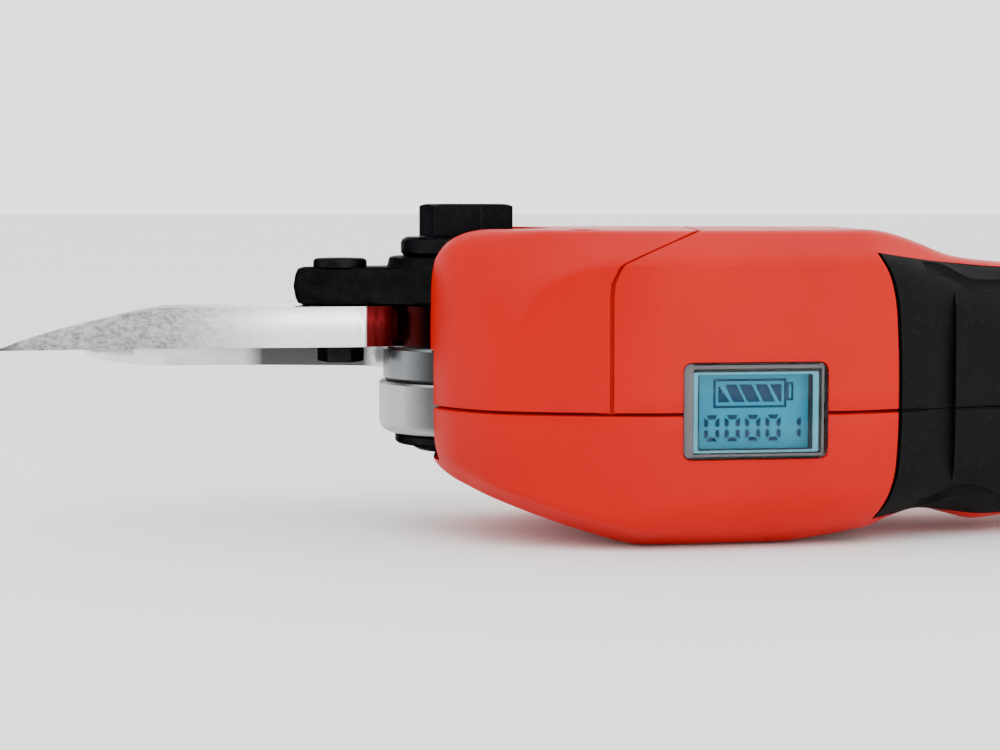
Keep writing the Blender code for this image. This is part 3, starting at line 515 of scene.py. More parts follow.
RED = plastic("red_plastic", (0.50, 0.0018, 0.0008), 0.38, 2600.0, 0.10, 0.06, 0.11)
BLACK = plastic("black_plastic", (0.0055, 0.0056, 0.0060), 0.42, 1500.0, 0.2, 0.2, 0.2)
DARK_GREY = plastic("dark_grey_plastic", (0.010, 0.009, 0.009), 0.5, 1500.0, 0.08, 0.2, 0.12)
RUBBER = rubber("grip_rubber")
STEEL = blade_steel("blade_steel")
HOOK_STEEL = metal("hook_steel", (0.58, 0.58, 0.59), 0.30, (6.0, 30.0, 60.0), 60.0, 0.25, 0.16,
                   (-47.0, -43.0, 0.93))
FORGED = metal("forged_black", (0.0075, 0.0075, 0.0080), 0.45, (1.0, 1.0, 1.0), 700.0, 0.5, 0.35)
BLACKENED = metal("blackened_steel", (0.010, 0.0105, 0.0115), 0.38, (1.0, 1.0, 1.0), 500.0, 0.2,
                  0.3)
ALUMINIUM = metal("cast_aluminium", (0.42, 0.42, 0.42), 0.36, (1.0, 1.0, 14.0), 300.0, 0.3, 0.10,
                  (-14.5, -11.5, 0.80))
ZINC = metal("zinc_steel", (0.20, 0.21, 0.22), 0.28, (1.0, 1.0, 20.0), 200.0, 0.2, 0.12,
             (-14.5, -11.0, 0.93))
COPPER = metal("contact_metal", (0.62, 0.30, 0.14), 0.28, (1.0, 1.0, 1.0), 400.0, 0.2, 0.15)
CLEAR = clear_plastic("clear_window")
LCD = lcd_sheet("lcd_sheet", (0.010, 0.190, 0.300), (0.018, 0.240, 0.360), 0.45)
LCD_INK = lcd_sheet("lcd_ink", (0.001, 0.032, 0.080), (0.002, 0.040, 0.095), 0.06)
# Painted highlights: pale grey and cyan strips standing in for light caught in the display window's
# bevelled rim.
HIGHLIGHT_GREY = plastic("highlight_ring_grey", (0.16, 0.15, 0.16), 0.3, 900.0, 0.05, 0.15, 0.04)
HIGHLIGHT_BLUE = plastic("highlight_ring_blue", (0.10, 0.38, 0.48), 0.3, 900.0, 0.05, 0.2, 0.04)
BOARD = plastic("board_green", (0.012, 0.10, 0.045), 0.42, 700.0, 0.3, 0.25)
CELL = plastic("cell_wrap", (0.03, 0.14, 0.26), 0.3, 500.0, 0.08, 0.08)


# ---- body surface
def blend_rows(position):
    """Smooth in-between of the station rows at a fractional row number."""
    last = len(STATIONS) - 1
    k = max(0, min(int(position), last - 1))
    t = position - k
    a, b, c, d = (STATIONS[max(0, min(last, n))] for n in (k - 1, k, k + 1, k + 2))
    out = []
    for p, q, r, s in zip(a, b, c, d):
        m0 = 0.0 if (q - p) * (r - q) <= 0 else 0.5 * (r - p)
        m1 = 0.0 if (r - q) * (s - r) <= 0 else 0.5 * (s - q)
        if k == 0:
            m0 = r - q
        limit = 3 * abs(r - q)
        m0 = max(-limit, min(limit, m0))
        m1 = max(-limit, min(limit, m1))
        h = t * t * (3 - 2 * t)
        out.append(q * (1 - h) + r * h + m0 * t * (1 - t) ** 2 - m1 * t * t * (1 - t))
    return out


def spaced(a, b, count):
    return [tuple(p + (q - p) * k / count for p, q in zip(a, b)) for k in range(1, count)]


def half_ring(position, side, inset):
    """Half a cross-section from the spine seam round a flank to the belly seam."""
    sx, sy, bx, by, left, right, *creases = blend_rows(position)
    across, down, soft = creases[:3] if side > 0 else creases[3:]
    edge = (left if side > 0 else -right) - inset
    spine, belly = Vector((sx, sy)), Vector((bx, by))
    along = (belly - spine).normalized()
    depth = (belly - spine).length - 2 * inset
    spine += along * inset
    seam, lip = (SEAM_CLOSED, 0.0) if inset else (SEAM_HALF, 1.0)
    corner = [(seam, 0.0, 0.0), (edge - across, 0.0, soft), (edge, down, 1.2 + soft * 0.3),
              (edge, depth, BELLY_ROUND), (seam, depth, 0.0)]
    path = rounded(corner, steps=6)
    crease, shoulder, bottom = path[1:8], path[8:15], path[15:22]
    edge_in = [(seam, 0.45 * lip), (seam + 0.1, 0.12 * lip), (seam + 0.35, 0.0)]
    edge_out = [(z, depth - d) for z, d in reversed(edge_in)]
    points = [*edge_in, *spaced(edge_in[-1], crease[0], 10), *crease,
              *spaced(crease[-1], shoulder[0], 5), *shoulder,
              *spaced(shoulder[-1], bottom[0], 8), *bottom,
              *spaced(bottom[-1], edge_out[0], 8), *edge_out]
    ring = []
    width = max(edge - across, 1.0)
    for z, d in points:
        d += CROWN * min(1.0, z / width) ** 2 * max(0.0, 1.0 - d / max(down, 1.0))
        ring.append(Vector((*(spine + along * d), side * z)))
    return ring


class Surface:
    """One half of the body, ready to be read at any row number, seam count and inset."""

    def __init__(self, side):
        self.side = side
        self.rows = [k / SUB for k in range((len(STATIONS) - 1) * SUB + 1)]
        self.tables = {}

    def table(self, inset):
        if inset not in self.tables:
            self.tables[inset] = [half_ring(row, self.side, inset) for row in self.rows]
        return self.tables[inset]

    def count(self):
        return len(self.table(0.0)[0])

    def point(self, row, index, inset):
        grid = self.table(inset)
        place = max(0.0, min(row * SUB, len(grid) - 1.001))
        k = int(place)
        return grid[k][index].lerp(grid[k + 1][index], place - k)

    def row_at(self, index, seam_x):
        """Row number where the surface line crosses a seam given as x of z."""
        grid = self.table(0.0)
        for k, (a, b) in enumerate(zip(grid, grid[1:])):
            p, q = a[index], b[index]
            low, high = p.x - seam_x(p.z), q.x - seam_x(q.z)
            if low <= 0 < high:
                return (k + low / (low - high)) / SUB
        return 0.0


def cover_seam_x(z):
    places = [p[1] for p in COVER_SEAM]
    k = max(1, min(bisect.bisect(places, z), len(places) - 1))
    (x0, z0), (x1, z1) = COVER_SEAM[k - 1], COVER_SEAM[k]
    return x0 + (x1 - x0) * (z - z0) / (z1 - z0)


def skin(surface, first, last, wall_rows, front_path, rear_path, columns):
    """A shell part as closed loops, one for each line along the body.

    first and last give a line's end rows; front_path and rear_path are (row shift, inset) steps
    from the outside round each end to the inside; wall_rows gives the wall's inset at a row.
    """
    rings = []
    for index in range(surface.count()):
        a, b = first(index), last(index)
        loop = [surface.point(a + da, index, inset) for da, inset in reversed(front_path)]
        for k in range(1, columns):
            loop.append(surface.point(a + (b - a) * k / columns, index, 0.0))
        loop += [surface.point(b + db, index, inset) for db, inset in rear_path]
        for k in range(columns - 1, 0, -1):
            row = a + (b - a) * k / columns
            loop.append(surface.point(row, index, wall_rows(row)))
        rings.append(loop)
    return rings


def wall_at(row):
    """Wall thickness: more in the handle, where the grip is let into it."""
    return HANDLE_WALL if row >= HANDLE_START else WALL


def first_row(_line):
    return 0.0


def last_row(_line):
    return len(STATIONS) - 1


# How the ends of the shells are stepped, as (row shift, inset) from the outside in
PLAIN_FRONT = ((0.0, 0.0), (0.0, WALL))
PLAIN_REAR = ((0.0, 0.0), (0.0, HANDLE_WALL))
SHELL_LIP = ((0.045, 0.0), (0.036, 0.10), (0.034, 0.32), (0.034, 1.0), (-0.16, 1.0),
             (-0.16, WALL))
COVER_LIP = ((-0.045, 0.0), (-0.036, 0.10), (-0.034, 0.32), (-0.034, 0.9), (-0.17, 0.9),
             (-0.17, WALL))


def left_and_cover():
    """The left shell and the gear cover, each stepped along the seam between them."""
    surface = Surface(1)
    seam = [surface.row_at(k, cover_seam_x) for k in range(surface.count())]
    shell = skin(surface, lambda k: seam[k], last_row, wall_at, SHELL_LIP, PLAIN_REAR, 96)
    cover = skin(surface, first_row, lambda k: seam[k] - 0.001, lambda row: WALL, PLAIN_FRONT,
                 COVER_LIP, 60)
    return loft(shell), loft(cover)


def right_half():
    return loft(skin(Surface(-1), first_row, last_row, wall_at, PLAIN_FRONT, PLAIN_REAR, 150))


def whole_body(inset):
    """The body as one closed solid at an inset, for cutting the grip out of it."""
    left, right = Surface(1), Surface(-1)
    rings = []
    for a, b in zip(left.table(inset), right.table(inset)):
        rings.append(a + b[::-1])
    return loft(rings)


GRIP_PLAN = ((80.4, 30.2, 0), (82.9, 26.0, 3), (84.2, 20.5, 7), (84.8, 9.0, 9), (84.8, -4.0, 9),
             (84.3, -12.0, 7), (82.8, -17.2, 4), (80.4, -21.2, 0), (92.0, -20.4, 6),
             (106.0, -22.2, 6), (150.0, -19.0, 4), (150.0, 25.0, 4), (106.0, 26.9, 6),
             (92.0, 28.4, 6))


def grip_zone(grow):
    """The grip's outline seen from the spine, swept down to just below the spine's creases."""
    plan = []
    for x, z, radius in GRIP_PLAN:
        plan.append((x + (-grow if x < 100 else grow), z + math.copysign(grow, z), radius))
    outline = rounded(plan, closed=True, steps=5)
    clean = [p for k, p in enumerate(outline) if p != outline[k - 1]]
    top = [(x, -52.0, z) for x, z in clean]
    low = [(x, -14.0 + 0.45 * (x - 85.0) + grow, z) for x, z in clean]
    return loft([top, low])


def display_matrix():
    return at(*DISPLAY_AT, DISPLAY_Z) @ Matrix.Rotation(DISPLAY_TILT, 4, "Z")


def display_block(long, wide, top, bottom, bevel=0.0, shift=(0.0, 0.0)):
    """A block in the display's frame; top and bottom are depths below the spine."""
    low = (shift[0] - long / 2, top, shift[1] - wide / 2)
    high = (shift[0] + long / 2, bottom, shift[1] + wide / 2)
    return placed(box(low, high, bevel), display_matrix())


SCREW_PLACES = ((34.5, 23.0), (36.0, -23.0), (75.5, -18.5), (66.0, 21.5), (121.0, 6.0),
                (141.0, 17.0))
COVER_PLACES = ((23.5, -21.0), (22.5, 24.5))
TRIGGER_SLOT = ((79.0, 15.0, -2.6), (113.0, 60.0, 8.6))
# Room for the turning parts as (radius, low, high), and the pocket open to the hook side
BOSS_ROOM = (18.3, -10.7, 11.2)
COLLAR_ROOM = (16.7, 11.0, 60.0)
HEAD_POCKET = ((-12, 8, -7.0), (18, 50, 30.5))
BUTTON_FRAME = at(46, 0, 14) @ ALONG_Y


def rod(radius, low, high, centre=(0.0, 0.0), count=64):
    return turned([(0, low), (radius, low), (radius, high), (0, high)], count, centre=centre)


SCREW_ROOM, SLEEVE_WALL = 3.4, 1.1
SCREW_SEAT, COVER_SEAT = -14.0, 28.5         # how far down the screws' rooms are cut


def sleeve(low, high, place):
    """The wall round a screw's head where it is sunk below the shell."""
    return rod(SCREW_ROOM + SLEEVE_WALL, low, high, place, 40)


def make_body():
    left, cover = left_and_cover()
    right = right_half()
    for shell in (left, right):
        recess = boolean(grip_zone(0.45), whole_body(GRIP_DEPTH))
        boolean(shell, recess)
        boolean(shell, slab(DISPLAY_SIZE[0] + 0.5, DISPLAY_SIZE[1] + 0.5, 1.9, -8, 9))
        boolean(shell, box(*TRIGGER_SLOT, 1.5))
    boolean(left, placed(rod(5.8, 20, 40), BUTTON_FRAME))
    boolean(right, rod(*BOSS_ROOM, count=128))
    boolean(right, box(*HEAD_POCKET, 0.8))
    boolean(cover, rod(*COLLAR_ROOM, count=128))
    boolean(cover, rod(*BOSS_ROOM, count=128))
    boolean(cover, box(*HEAD_POCKET, 0.8))
    for place in SCREW_PLACES:
        boolean(right, sleeve(-20.0, SCREW_SEAT + 1.0, place), "UNION")
        boolean(right, rod(SCREW_ROOM, -40, SCREW_SEAT, place))
    for place in COVER_PLACES:
        boolean(cover, sleeve(COVER_SEAT - 0.5, 33.5, place), "UNION")
        boolean(cover, rod(SCREW_ROOM, COVER_SEAT, 60, place))
    add_piece("left_shell_skin", left, RED, "left_shell", smooth=32)
    add_piece("right_shell_skin", right, RED, "right_shell", smooth=32)
    add_piece("gear_cover_skin", cover, RED, "gear_cover", smooth=32)


# Soft grooves in the rubber as (x, z) seen from the spine, and the step across its front part
GRIP_GROOVES = (((90.5, 27.9), (92.9, 27.6), (95.7, 27.0), (98.2, 25.6), (101.0, 24.4),
                 (105.3, 24.1), (112.0, 24.4), (120.0, 25.5)),
                ((90.0, -19.6), (92.3, -19.2), (95.3, -17.9), (98.8, -17.2), (102.2, -17.8),
                 (105.3, -19.4), (112.0, -21.6)))
STEP_FROM, STEP_AT, STEP_DEPTH, STEP_LOW, STEP_HIGH = 90.6, 96.2, 1.25, -15.4, 24.0


def tube(path, radius, count=16):
    """A round bar along a path of points, lying across the Y direction."""
    rings = []
    for k, point in enumerate(path):
        along = (path[min(k + 1, len(path) - 1)] - path[max(k - 1, 0)]).normalized()
        side = along.cross(Vector((0, 1, 0))).normalized()
        up = side.cross(along)
        rings.append([point + side * a + up * b for a, b in circle(radius, count)])
    return loft(rings)


def grip_grooves(probe):
    """Cutters for the grip's grooves and step, laid on the body's spine side."""
    def surface(x, z):
        return probe.ray_cast(Vector((x, -100.0, z)), Vector((0, 1, 0)))[0].y

    cutters = []
    for groove in GRIP_GROOVES:
        path = [Vector((x, surface(x, z) - 1.05, z)) for x, z in curve(groove, 4)]
        cutters.append(tube(path, 1.9))
    wedge = [(STEP_FROM, surface(STEP_FROM, 0) + 0.02), (STEP_AT, surface(STEP_AT, 0) + STEP_DEPTH),
             (STEP_AT + 0.5, surface(STEP_AT, 0) - 2), (STEP_FROM, surface(STEP_FROM, 0) - 2)]
    cutters.append(loft([[(x, y, z) for x, y in wedge] for z in (STEP_LOW, STEP_HIGH)]))
    return cutters


def make_grips():
    probe = BVHTree.FromBMesh(whole_body(0.0))
    for name, side in (("grip_left", 1), ("grip_right", -1)):
        grip = boolean(whole_body(0.0), grip_zone(-0.30), "INTERSECT")
        boolean(grip, boolean(whole_body(1.0), grip_zone(0.30), "INTERSECT"), "UNION")
        for cutter in grip_grooves(probe):
            boolean(grip, cutter)
        boolean(grip, whole_body(GRIP_DEPTH - 0.2))
        low, high = (0.1, 80.0) if side > 0 else (-80.0, -0.1)
        boolean(grip, box((-50, -90, low), (300, 150, high)), "INTERSECT")
        add_piece(f"{name}_rubber", grip, RUBBER, name, smooth=35)


# ---- display
DIGIT_WIDE, DIGIT_HIGH, DIGIT_BAR, DIGIT_PITCH = 3.0, 5.05, 0.82, 4.01
DIGIT_START, DIGIT_BASE = -9.2, -6.1
SEGMENTS = {"0": "abcdef", "1": "bc"}
PRINT_DEPTHS = (4.40, 4.48)


def slab(wide, high, corner, top, bottom, bevel=0.0, shift=(0.0, 0.0)):
    """A round-cornered slab in the display's frame, between two depths below the spine."""
    x, z = shift
    corners = [(x - wide / 2, -z - high / 2, corner), (x + wide / 2, -z - high / 2, corner),
               (x + wide / 2, -z + high / 2, corner), (x - wide / 2, -z + high / 2, corner)]
    shape = plate(rounded(corners, True, 6), top, bottom, bevel)
    return placed(shape, display_matrix() @ ALONG_Y)


def digit_bars():
    """Outlines of a digit's bars, lower left corner at the origin."""
    w, h, t, m = DIGIT_WIDE, DIGIT_HIGH, DIGIT_BAR, DIGIT_HIGH / 2
    lying = [(0.42, h), (w - 0.42, h), (w - 0.86, h - t), (0.86, h - t)]
    standing = [(0.0, h - 0.5), (t, h - 1.05), (t, m + 0.45), (t / 2, m + 0.2), (0.0, m + 0.45)]
    return {"a": lying, "d": [(x, h - y) for x, y in lying], "f": standing,
            "e": [(x, h - y) for x, y in standing], "b": [(w - x, y) for x, y in standing],
            "c": [(w - x, h - y) for x, y in standing]}


def lcd_print(shape, outline):
    """Add one printed area; the outline is in display millimetres, x right and y up."""
    rows = [[shape.verts.new((px, y, pz)) for px, pz in outline] for y in PRINT_DEPTHS]
    count = len(outline)
    for k in range(count):
        n = (k + 1) % count
        shape.faces.new((rows[0][k], rows[0][n], rows[1][n], rows[1][k]))
    shape.faces.new(rows[0])
    shape.faces.new(rows[1][::-1])


def frame_lines(left, low, right, high, line):
    """Four bars round a rectangle."""
    return (((left, low), (right, low), (right, low + line), (left, low + line)),
            ((left, high - line), (right, high - line), (right, high), (left, high)),
            ((left, low + line), (left + line, low + line), (left + line, high - line),
             (left, high - line)),
            ((right - line, low + line), (right, low + line), (right, high - line),
             (right - line, high - line)))


# The battery sign: its frame and cap as (left, low, right, high, line), and its slanted bars
CHARGE_FRAME = (-7.44, 0.27, 6.9, 5.81, 0.45)
CHARGE_CAP = (6.95, 1.6, 8.3, 5.1, 0.42)
CHARGE_LOW, CHARGE_HIGH = 1.4, 4.75
CHARGE_LEAN = 1.68


def charge_bars():
    """Outlines of the slanted bars inside the battery sign."""
    bars = [((-6.45, CHARGE_HIGH - 0.1), (-6.45, CHARGE_LOW), (-4.15, CHARGE_LOW)),
            ((3.67, CHARGE_HIGH), (5.95, CHARGE_HIGH), (5.95, CHARGE_LOW), (5.5, CHARGE_LOW))]
    for left, right in ((-5.21, -2.93), (-2.43, 0.07), (0.71, 3.03)):
        bars.append(((left, CHARGE_HIGH), (right, CHARGE_HIGH), (right + CHARGE_LEAN, CHARGE_LOW),
                     (left + CHARGE_LEAN, CHARGE_LOW)))
    return bars


def highlight_ring(name, outer, inner, look):
    """A thin ring just behind the window, coloured as a painted highlight of the window's bevelled
    rim.
    """
    def area(limits, top, bottom):
        left, right, low, high = limits
        middle = ((left + right) / 2, (low + high) / 2)
        return slab(right - left, high - low, 0.4, top, bottom, 0.0, middle)

    ring = area(outer, 1.32, 1.48)
    boolean(ring, area(inner, 1.2, 1.6))
    add_piece(name, ring, look)


# Areas as (left, right, low, high) in the display: the opening, then each ring's outside and inside
PANEL_AREA = (-10.9, 11.3, -7.55, 6.95)
# Both rings are painted highlights standing in for light caught in the window's bevelled rim.
HIGHLIGHT_RINGS = (("outer", (-13.6, 13.6, -8.75, 8.75), (-12.1, 13.2, -8.35, 8.1), HIGHLIGHT_GREY),
                ("inner", (-12.0, 12.5, -8.0, 7.4), (-11.2, 11.4, -7.58, 6.98), HIGHLIGHT_BLUE))


def make_display():
    window = slab(*DISPLAY_SIZE, 1.7, -0.35, 1.3, 0.5)
    add_piece("display_glass", window, CLEAR, "display_window")
    left, right, low, high = PANEL_AREA
    middle = ((left + right) / 2, (low + high) / 2)
    bezel = slab(27.4, 17.7, 1.5, 1.5, 7.0)
    boolean(bezel, slab(right - left, high - low, 0.3, 0.0, 9.0, 0.0, middle))
    add_piece("display_bezel", bezel, DARK_GREY, "display_frame")
    for place, outer, inner, look in HIGHLIGHT_RINGS:
        highlight_ring(f"highlight_ring_{place}", outer, inner, look)
    panel = display_block(22.1, 14.4, 4.5, 6.4, 0.1, middle)
    add_piece("lcd_panel", panel, LCD, "display_panel")
    ink = bmesh.new()
    bars = digit_bars()
    for k, digit in enumerate("00001"):
        left = DIGIT_START + DIGIT_PITCH * k
        for bar in SEGMENTS[digit]:
            lcd_print(ink, [(left + x, DIGIT_BASE + y) for x, y in bars[bar]])
    for outline in (*frame_lines(*CHARGE_FRAME), *frame_lines(*CHARGE_CAP), *charge_bars()):
        lcd_print(ink, outline)
    add_piece("lcd_marks", placed(ink, display_matrix()), LCD_INK, smooth=20)


# ---- cutting head
def make_stack():
    hexagon = circle(HEAD_FLATS / 2 / math.cos(math.radians(30)), 6, start=math.radians(50))
    head = plate(hexagon, HEAD_BOTTOM - 0.2, HEAD_TOP, 0.0)
    sides = [e for e in head.edges if abs(e.verts[0].co.z - e.verts[1].co.z) > 1]
    bmesh.ops.bevel(head, geom=sides, offset=0.35, segments=3, profile=0.5, affect="EDGES")
    crown = turned([(0, HEAD_BOTTOM - 0.2), (11.0, HEAD_BOTTOM - 0.2), (11.0, HEAD_TOP - 0.9),
                    (8.6, HEAD_TOP - 0.1), (8.0, HEAD_TOP), (0, HEAD_TOP)])
    boolean(head, crown, "INTERSECT")
    shaft = turned([(0, NUT_BOTTOM + 1.2), (BOLT_R, NUT_BOTTOM + 1.2), (BOLT_R, HEAD_BOTTOM - 0.2),
                    (0, HEAD_BOTTOM - 0.2)])
    add_piece("pivot_bolt_steel", merged(head, shaft), BLACKENED, "pivot_bolt")
    washer = [(BORE_R, COLLAR_TOP + 0.1), (WASHER_R - 0.6, COLLAR_TOP + 0.1),
              (WASHER_R, COLLAR_TOP + 0.8), (WASHER_R, WASHER_TOP - 1.1),
              (WASHER_R - 0.3, WASHER_TOP - 0.5), (WASHER_R - 1.1, WASHER_TOP),
              (BORE_R, WASHER_TOP)]
    add_piece("pivot_washer_steel", turned(washer, closed=True), BLACKENED, "pivot_washer")
    hub = [(BORE_R, BOSS_TOP + 0.3), (HUB_R - 0.5, BOSS_TOP + 0.3), (HUB_R, BOSS_TOP + 0.8),
           (HUB_R, HOOK_TOP - 0.5), (HUB_R - 0.5, HOOK_TOP), (BORE_R, HOOK_TOP)]
    add_piece("hub_ring", turned(hub, closed=True), ZINC, "pivot_bush")
    nut = [(0, NUT_BOTTOM), (NUT_DOME_R - 3.4, NUT_BOTTOM), (NUT_DOME_R - 1.4, NUT_BOTTOM + 0.3),
           (NUT_DOME_R - 0.3, NUT_BOTTOM + 1.0), (NUT_DOME_R, NUT_FLANGE_BOTTOM),
           (NUT_FLANGE_R - 0.4, NUT_FLANGE_BOTTOM), (NUT_FLANGE_R, NUT_FLANGE_BOTTOM + 0.4),
           (NUT_FLANGE_R, NUT_TOP - 0.4), (NUT_FLANGE_R - 0.4, NUT_TOP), (BORE_R, NUT_TOP),
           (BORE_R, NUT_BOTTOM + 0.8), (0, NUT_BOTTOM + 0.8)]
    add_piece("pivot_nut_steel", turned(nut), BLACKENED, "pivot_nut")


HOOK_SCREWS = ((-2.0, 22.0), (12.0, 21.5))
HOOK_SCREW_HOLE = (2.8, -3.0, 30.0)          # radius, low end, high end


def make_housing():
    fillet = 2.4
    boss = [(BORE_R, BOSS_BOTTOM), (BOSS_R - fillet, BOSS_BOTTOM)]
    boss += [(BOSS_R - fillet + fillet * math.sin(a), BOSS_BOTTOM + fillet - fillet * math.cos(a))
             for a in (math.radians(15 * k) for k in range(1, 7))]
    boss += [(BOSS_R, BOSS_TOP - 0.4), (BOSS_R - 0.4, BOSS_TOP), (BORE_R, BOSS_TOP)]
    housing = turned(boss, closed=True)
    pad = rounded([(-8, 12, 0), (16, 12, 2), (19, 18, 2), (17, 26.4, 3), (-6, 26.4, 3)], True, 4)
    pad = [p for k, p in enumerate(pad) if p != pad[k - 1]]
    wall = box((27.6, -17.0, BOSS_BOTTOM + 0.01), (31.0, 17.0, 24.5), 1.0)
    boolean(wall, placed(rod(8.3, 20, 35), at(0, 0, APEX_Z) @ ALONG_X))
    for part in (box((10.0, -16.0, BOSS_BOTTOM + 0.02), (31.0, 18.0, 0.6), 0.6), wall,
                 plate(pad, BOSS_BOTTOM + 0.03, HOOK_BOTTOM - 0.3, 0.5)):
        boolean(housing, part, "UNION")
    boolean(housing, rod(HUB_R + 0.4, BOSS_TOP, 40, count=96))
    boolean(housing, rod(BORE_R, *THROUGH))
    for place in HOOK_SCREWS:
        boolean(housing, rod(*HOOK_SCREW_HOLE, place))
    add_piece("gear_housing_cast", housing, ALUMINIUM, "gear_housing")


HOOK_EDGE = ((-16.9, 4.0), (-19.5, 9.0), (-24.0, 11.2), (-32.0, 12.0), (-43.0, 12.8),
             (-56.0, 12.2), (-66.0, 9.9), (-73.5, 6.9), (-79.2, 5.0))
HOOK_BACK = ((-79.5, 6.6), (-76.5, 11.5), (-70.0, 17.0), (-61.0, 21.8), (-50.0, 25.0),
             (-36.0, 26.6), (-22.0, 27.4), (-8.0, 28.2), (10.0, 28.2), (17.0, 26.0),
             (18.6, 20.0), (16.6, 14.0), (8.0, 8.0), (-8.0, 3.0))


def curve(points, steps=8):
    """Catmull-Rom curve through the points."""
    ends = [points[0], *points, points[-1]]
    out = []
    for a, b, c, d in zip(ends, ends[1:], ends[2:], ends[3:]):
        for k in range(steps):
            t = k / steps
            out.append(tuple(0.5 * (2 * q + (r - p) * t + (2 * p - 5 * q + 4 * r - s) * t * t
                                    + (3 * q - p - 3 * r + s) * t ** 3)
                             for p, q, r, s in zip(a, b, c, d)))
    out.append(tuple(points[-1]))
    return out


# Ground-away space seen from the spine, as (x, z): above the blade's tip, below the hook's.
BLADE_TIP_TOP = curve(((-94.0, 11.5), (-90.5, 11.9), (-87.6, 13.0), (-82.7, 14.6), (-74.1, 16.8),
                       (-63.8, 19.1), (-57.0, 19.7)), 4) + [(-57.0, 26.0), (-94.0, 26.0)]
HOOK_TIP_BELOW = curve(((-84.0, 10.2), (-79.8, 9.6), (-77.4, 8.0), (-71.1, 6.7), (-64.0, 6.1),
                        (-60.0, 5.9)), 4) + [(-60.0, 2.0), (-84.0, 2.0)]


def across(outline):
    """A bar along Y with its section given as (x, z)."""
    return loft([[(x, y, z) for x, z in outline] for y in (-40.0, 40.0)])


def make_hook():
    outline = curve(HOOK_EDGE) + curve(HOOK_BACK)
    hook = plate(outline, HOOK_BOTTOM, HOOK_TOP, 0.35)
    boolean(hook, rod(HUB_R + 0.3, -20, 40, count=96))
    boolean(hook, across(HOOK_TIP_BELOW))
    for place in HOOK_SCREWS:
        boolean(hook, rod(*HOOK_SCREW_HOLE, place))
    add_piece("hook_blade_steel", hook, HOOK_STEEL, "hook_blade")


BLADE_SPINE = ((-12.8, -8.2), (-17.0, -10.3), (-22.0, -11.8), (-40.0, -14.4), (-60.0, -17.3),
               (-76.0, -20.4), (-90.7, -23.5))
BLADE_EDGE = ((-84.0, -14.8), (-74.0, -7.4), (-62.0, -2.2), (-48.0, 1.4), (-34.0, 4.2),
              (-22.0, 6.6), (-15.0, 9.0))


def make_blade():
    outline = curve(BLADE_SPINE) + curve(BLADE_EDGE) + arc(15.8, 142, -142, 60)
    blade = plate(outline, BLADE_BOTTOM, BLADE_TOP, 0.2, 2)
    boolean(blade, blade_grind())
    boolean(blade, across(BLADE_TIP_TOP))
    boolean(blade, rod(BLADE_BORE_R, *THROUGH))
    boolean(blade, rod(BLADE_SCREW_HOLE, *THROUGH, BLADE_SCREW))
    add_piece("moving_blade_steel", blade, STEEL, "moving_blade", "blade", 25)


def blade_grind():
    """Space above the slope that runs down to the cutting edge."""
    line = curve(((-11.0, 30.0), (-24.0, 4.0), (-40.0, 0.4), (-58.0, -5.2), (-74.0, -12.2),
                  (-96.0, -22.5)), 4) + [(-110.0, 30.0)]
    low = [(x, y + 7.2, BLADE_BOTTOM + 0.7) for x, y in line]
    high = [(x, y, BLADE_TOP + 1.0) for x, y in line]
    return loft([low, high])


ARM_SIDE = ((-9.0, -13.2, 0), (-15.0, -11.2, 6.0), (-24.0, -10.2, 4.0), (-31.0, -9.8, 4.0),
            (-35.3, -6.6, 4.0), (-35.3, -2.6, 4.0), (-31.0, 0.6, 4.0), (-22.0, 4.4, 6.0),
            (-15.0, 8.4, 0), (-9.0, 13.2, 0))


def forging(outline, middle, bottom, top, draft, edge):
    """A drafted, well rounded slab: rings shrink towards both faces."""
    height = top - bottom
    levels = ((bottom, draft + edge), (bottom + 0.25 * edge, draft + 0.35 * edge),
              (bottom + edge, draft), (bottom + 0.5 * height, 0.5 * draft), (top - edge, draft),
              (top - 0.25 * edge, draft + 0.35 * edge), (top, draft + edge))
    rings = []
    centre = Vector(middle)
    for z, inset in levels:
        ring = []
        for x, y in outline:
            away = Vector((x, y)) - centre
            ring.append((*(centre + away * (1 - inset / max(away.length, 1e-6))), z))
        rings.append(ring)
    return loft(rings)


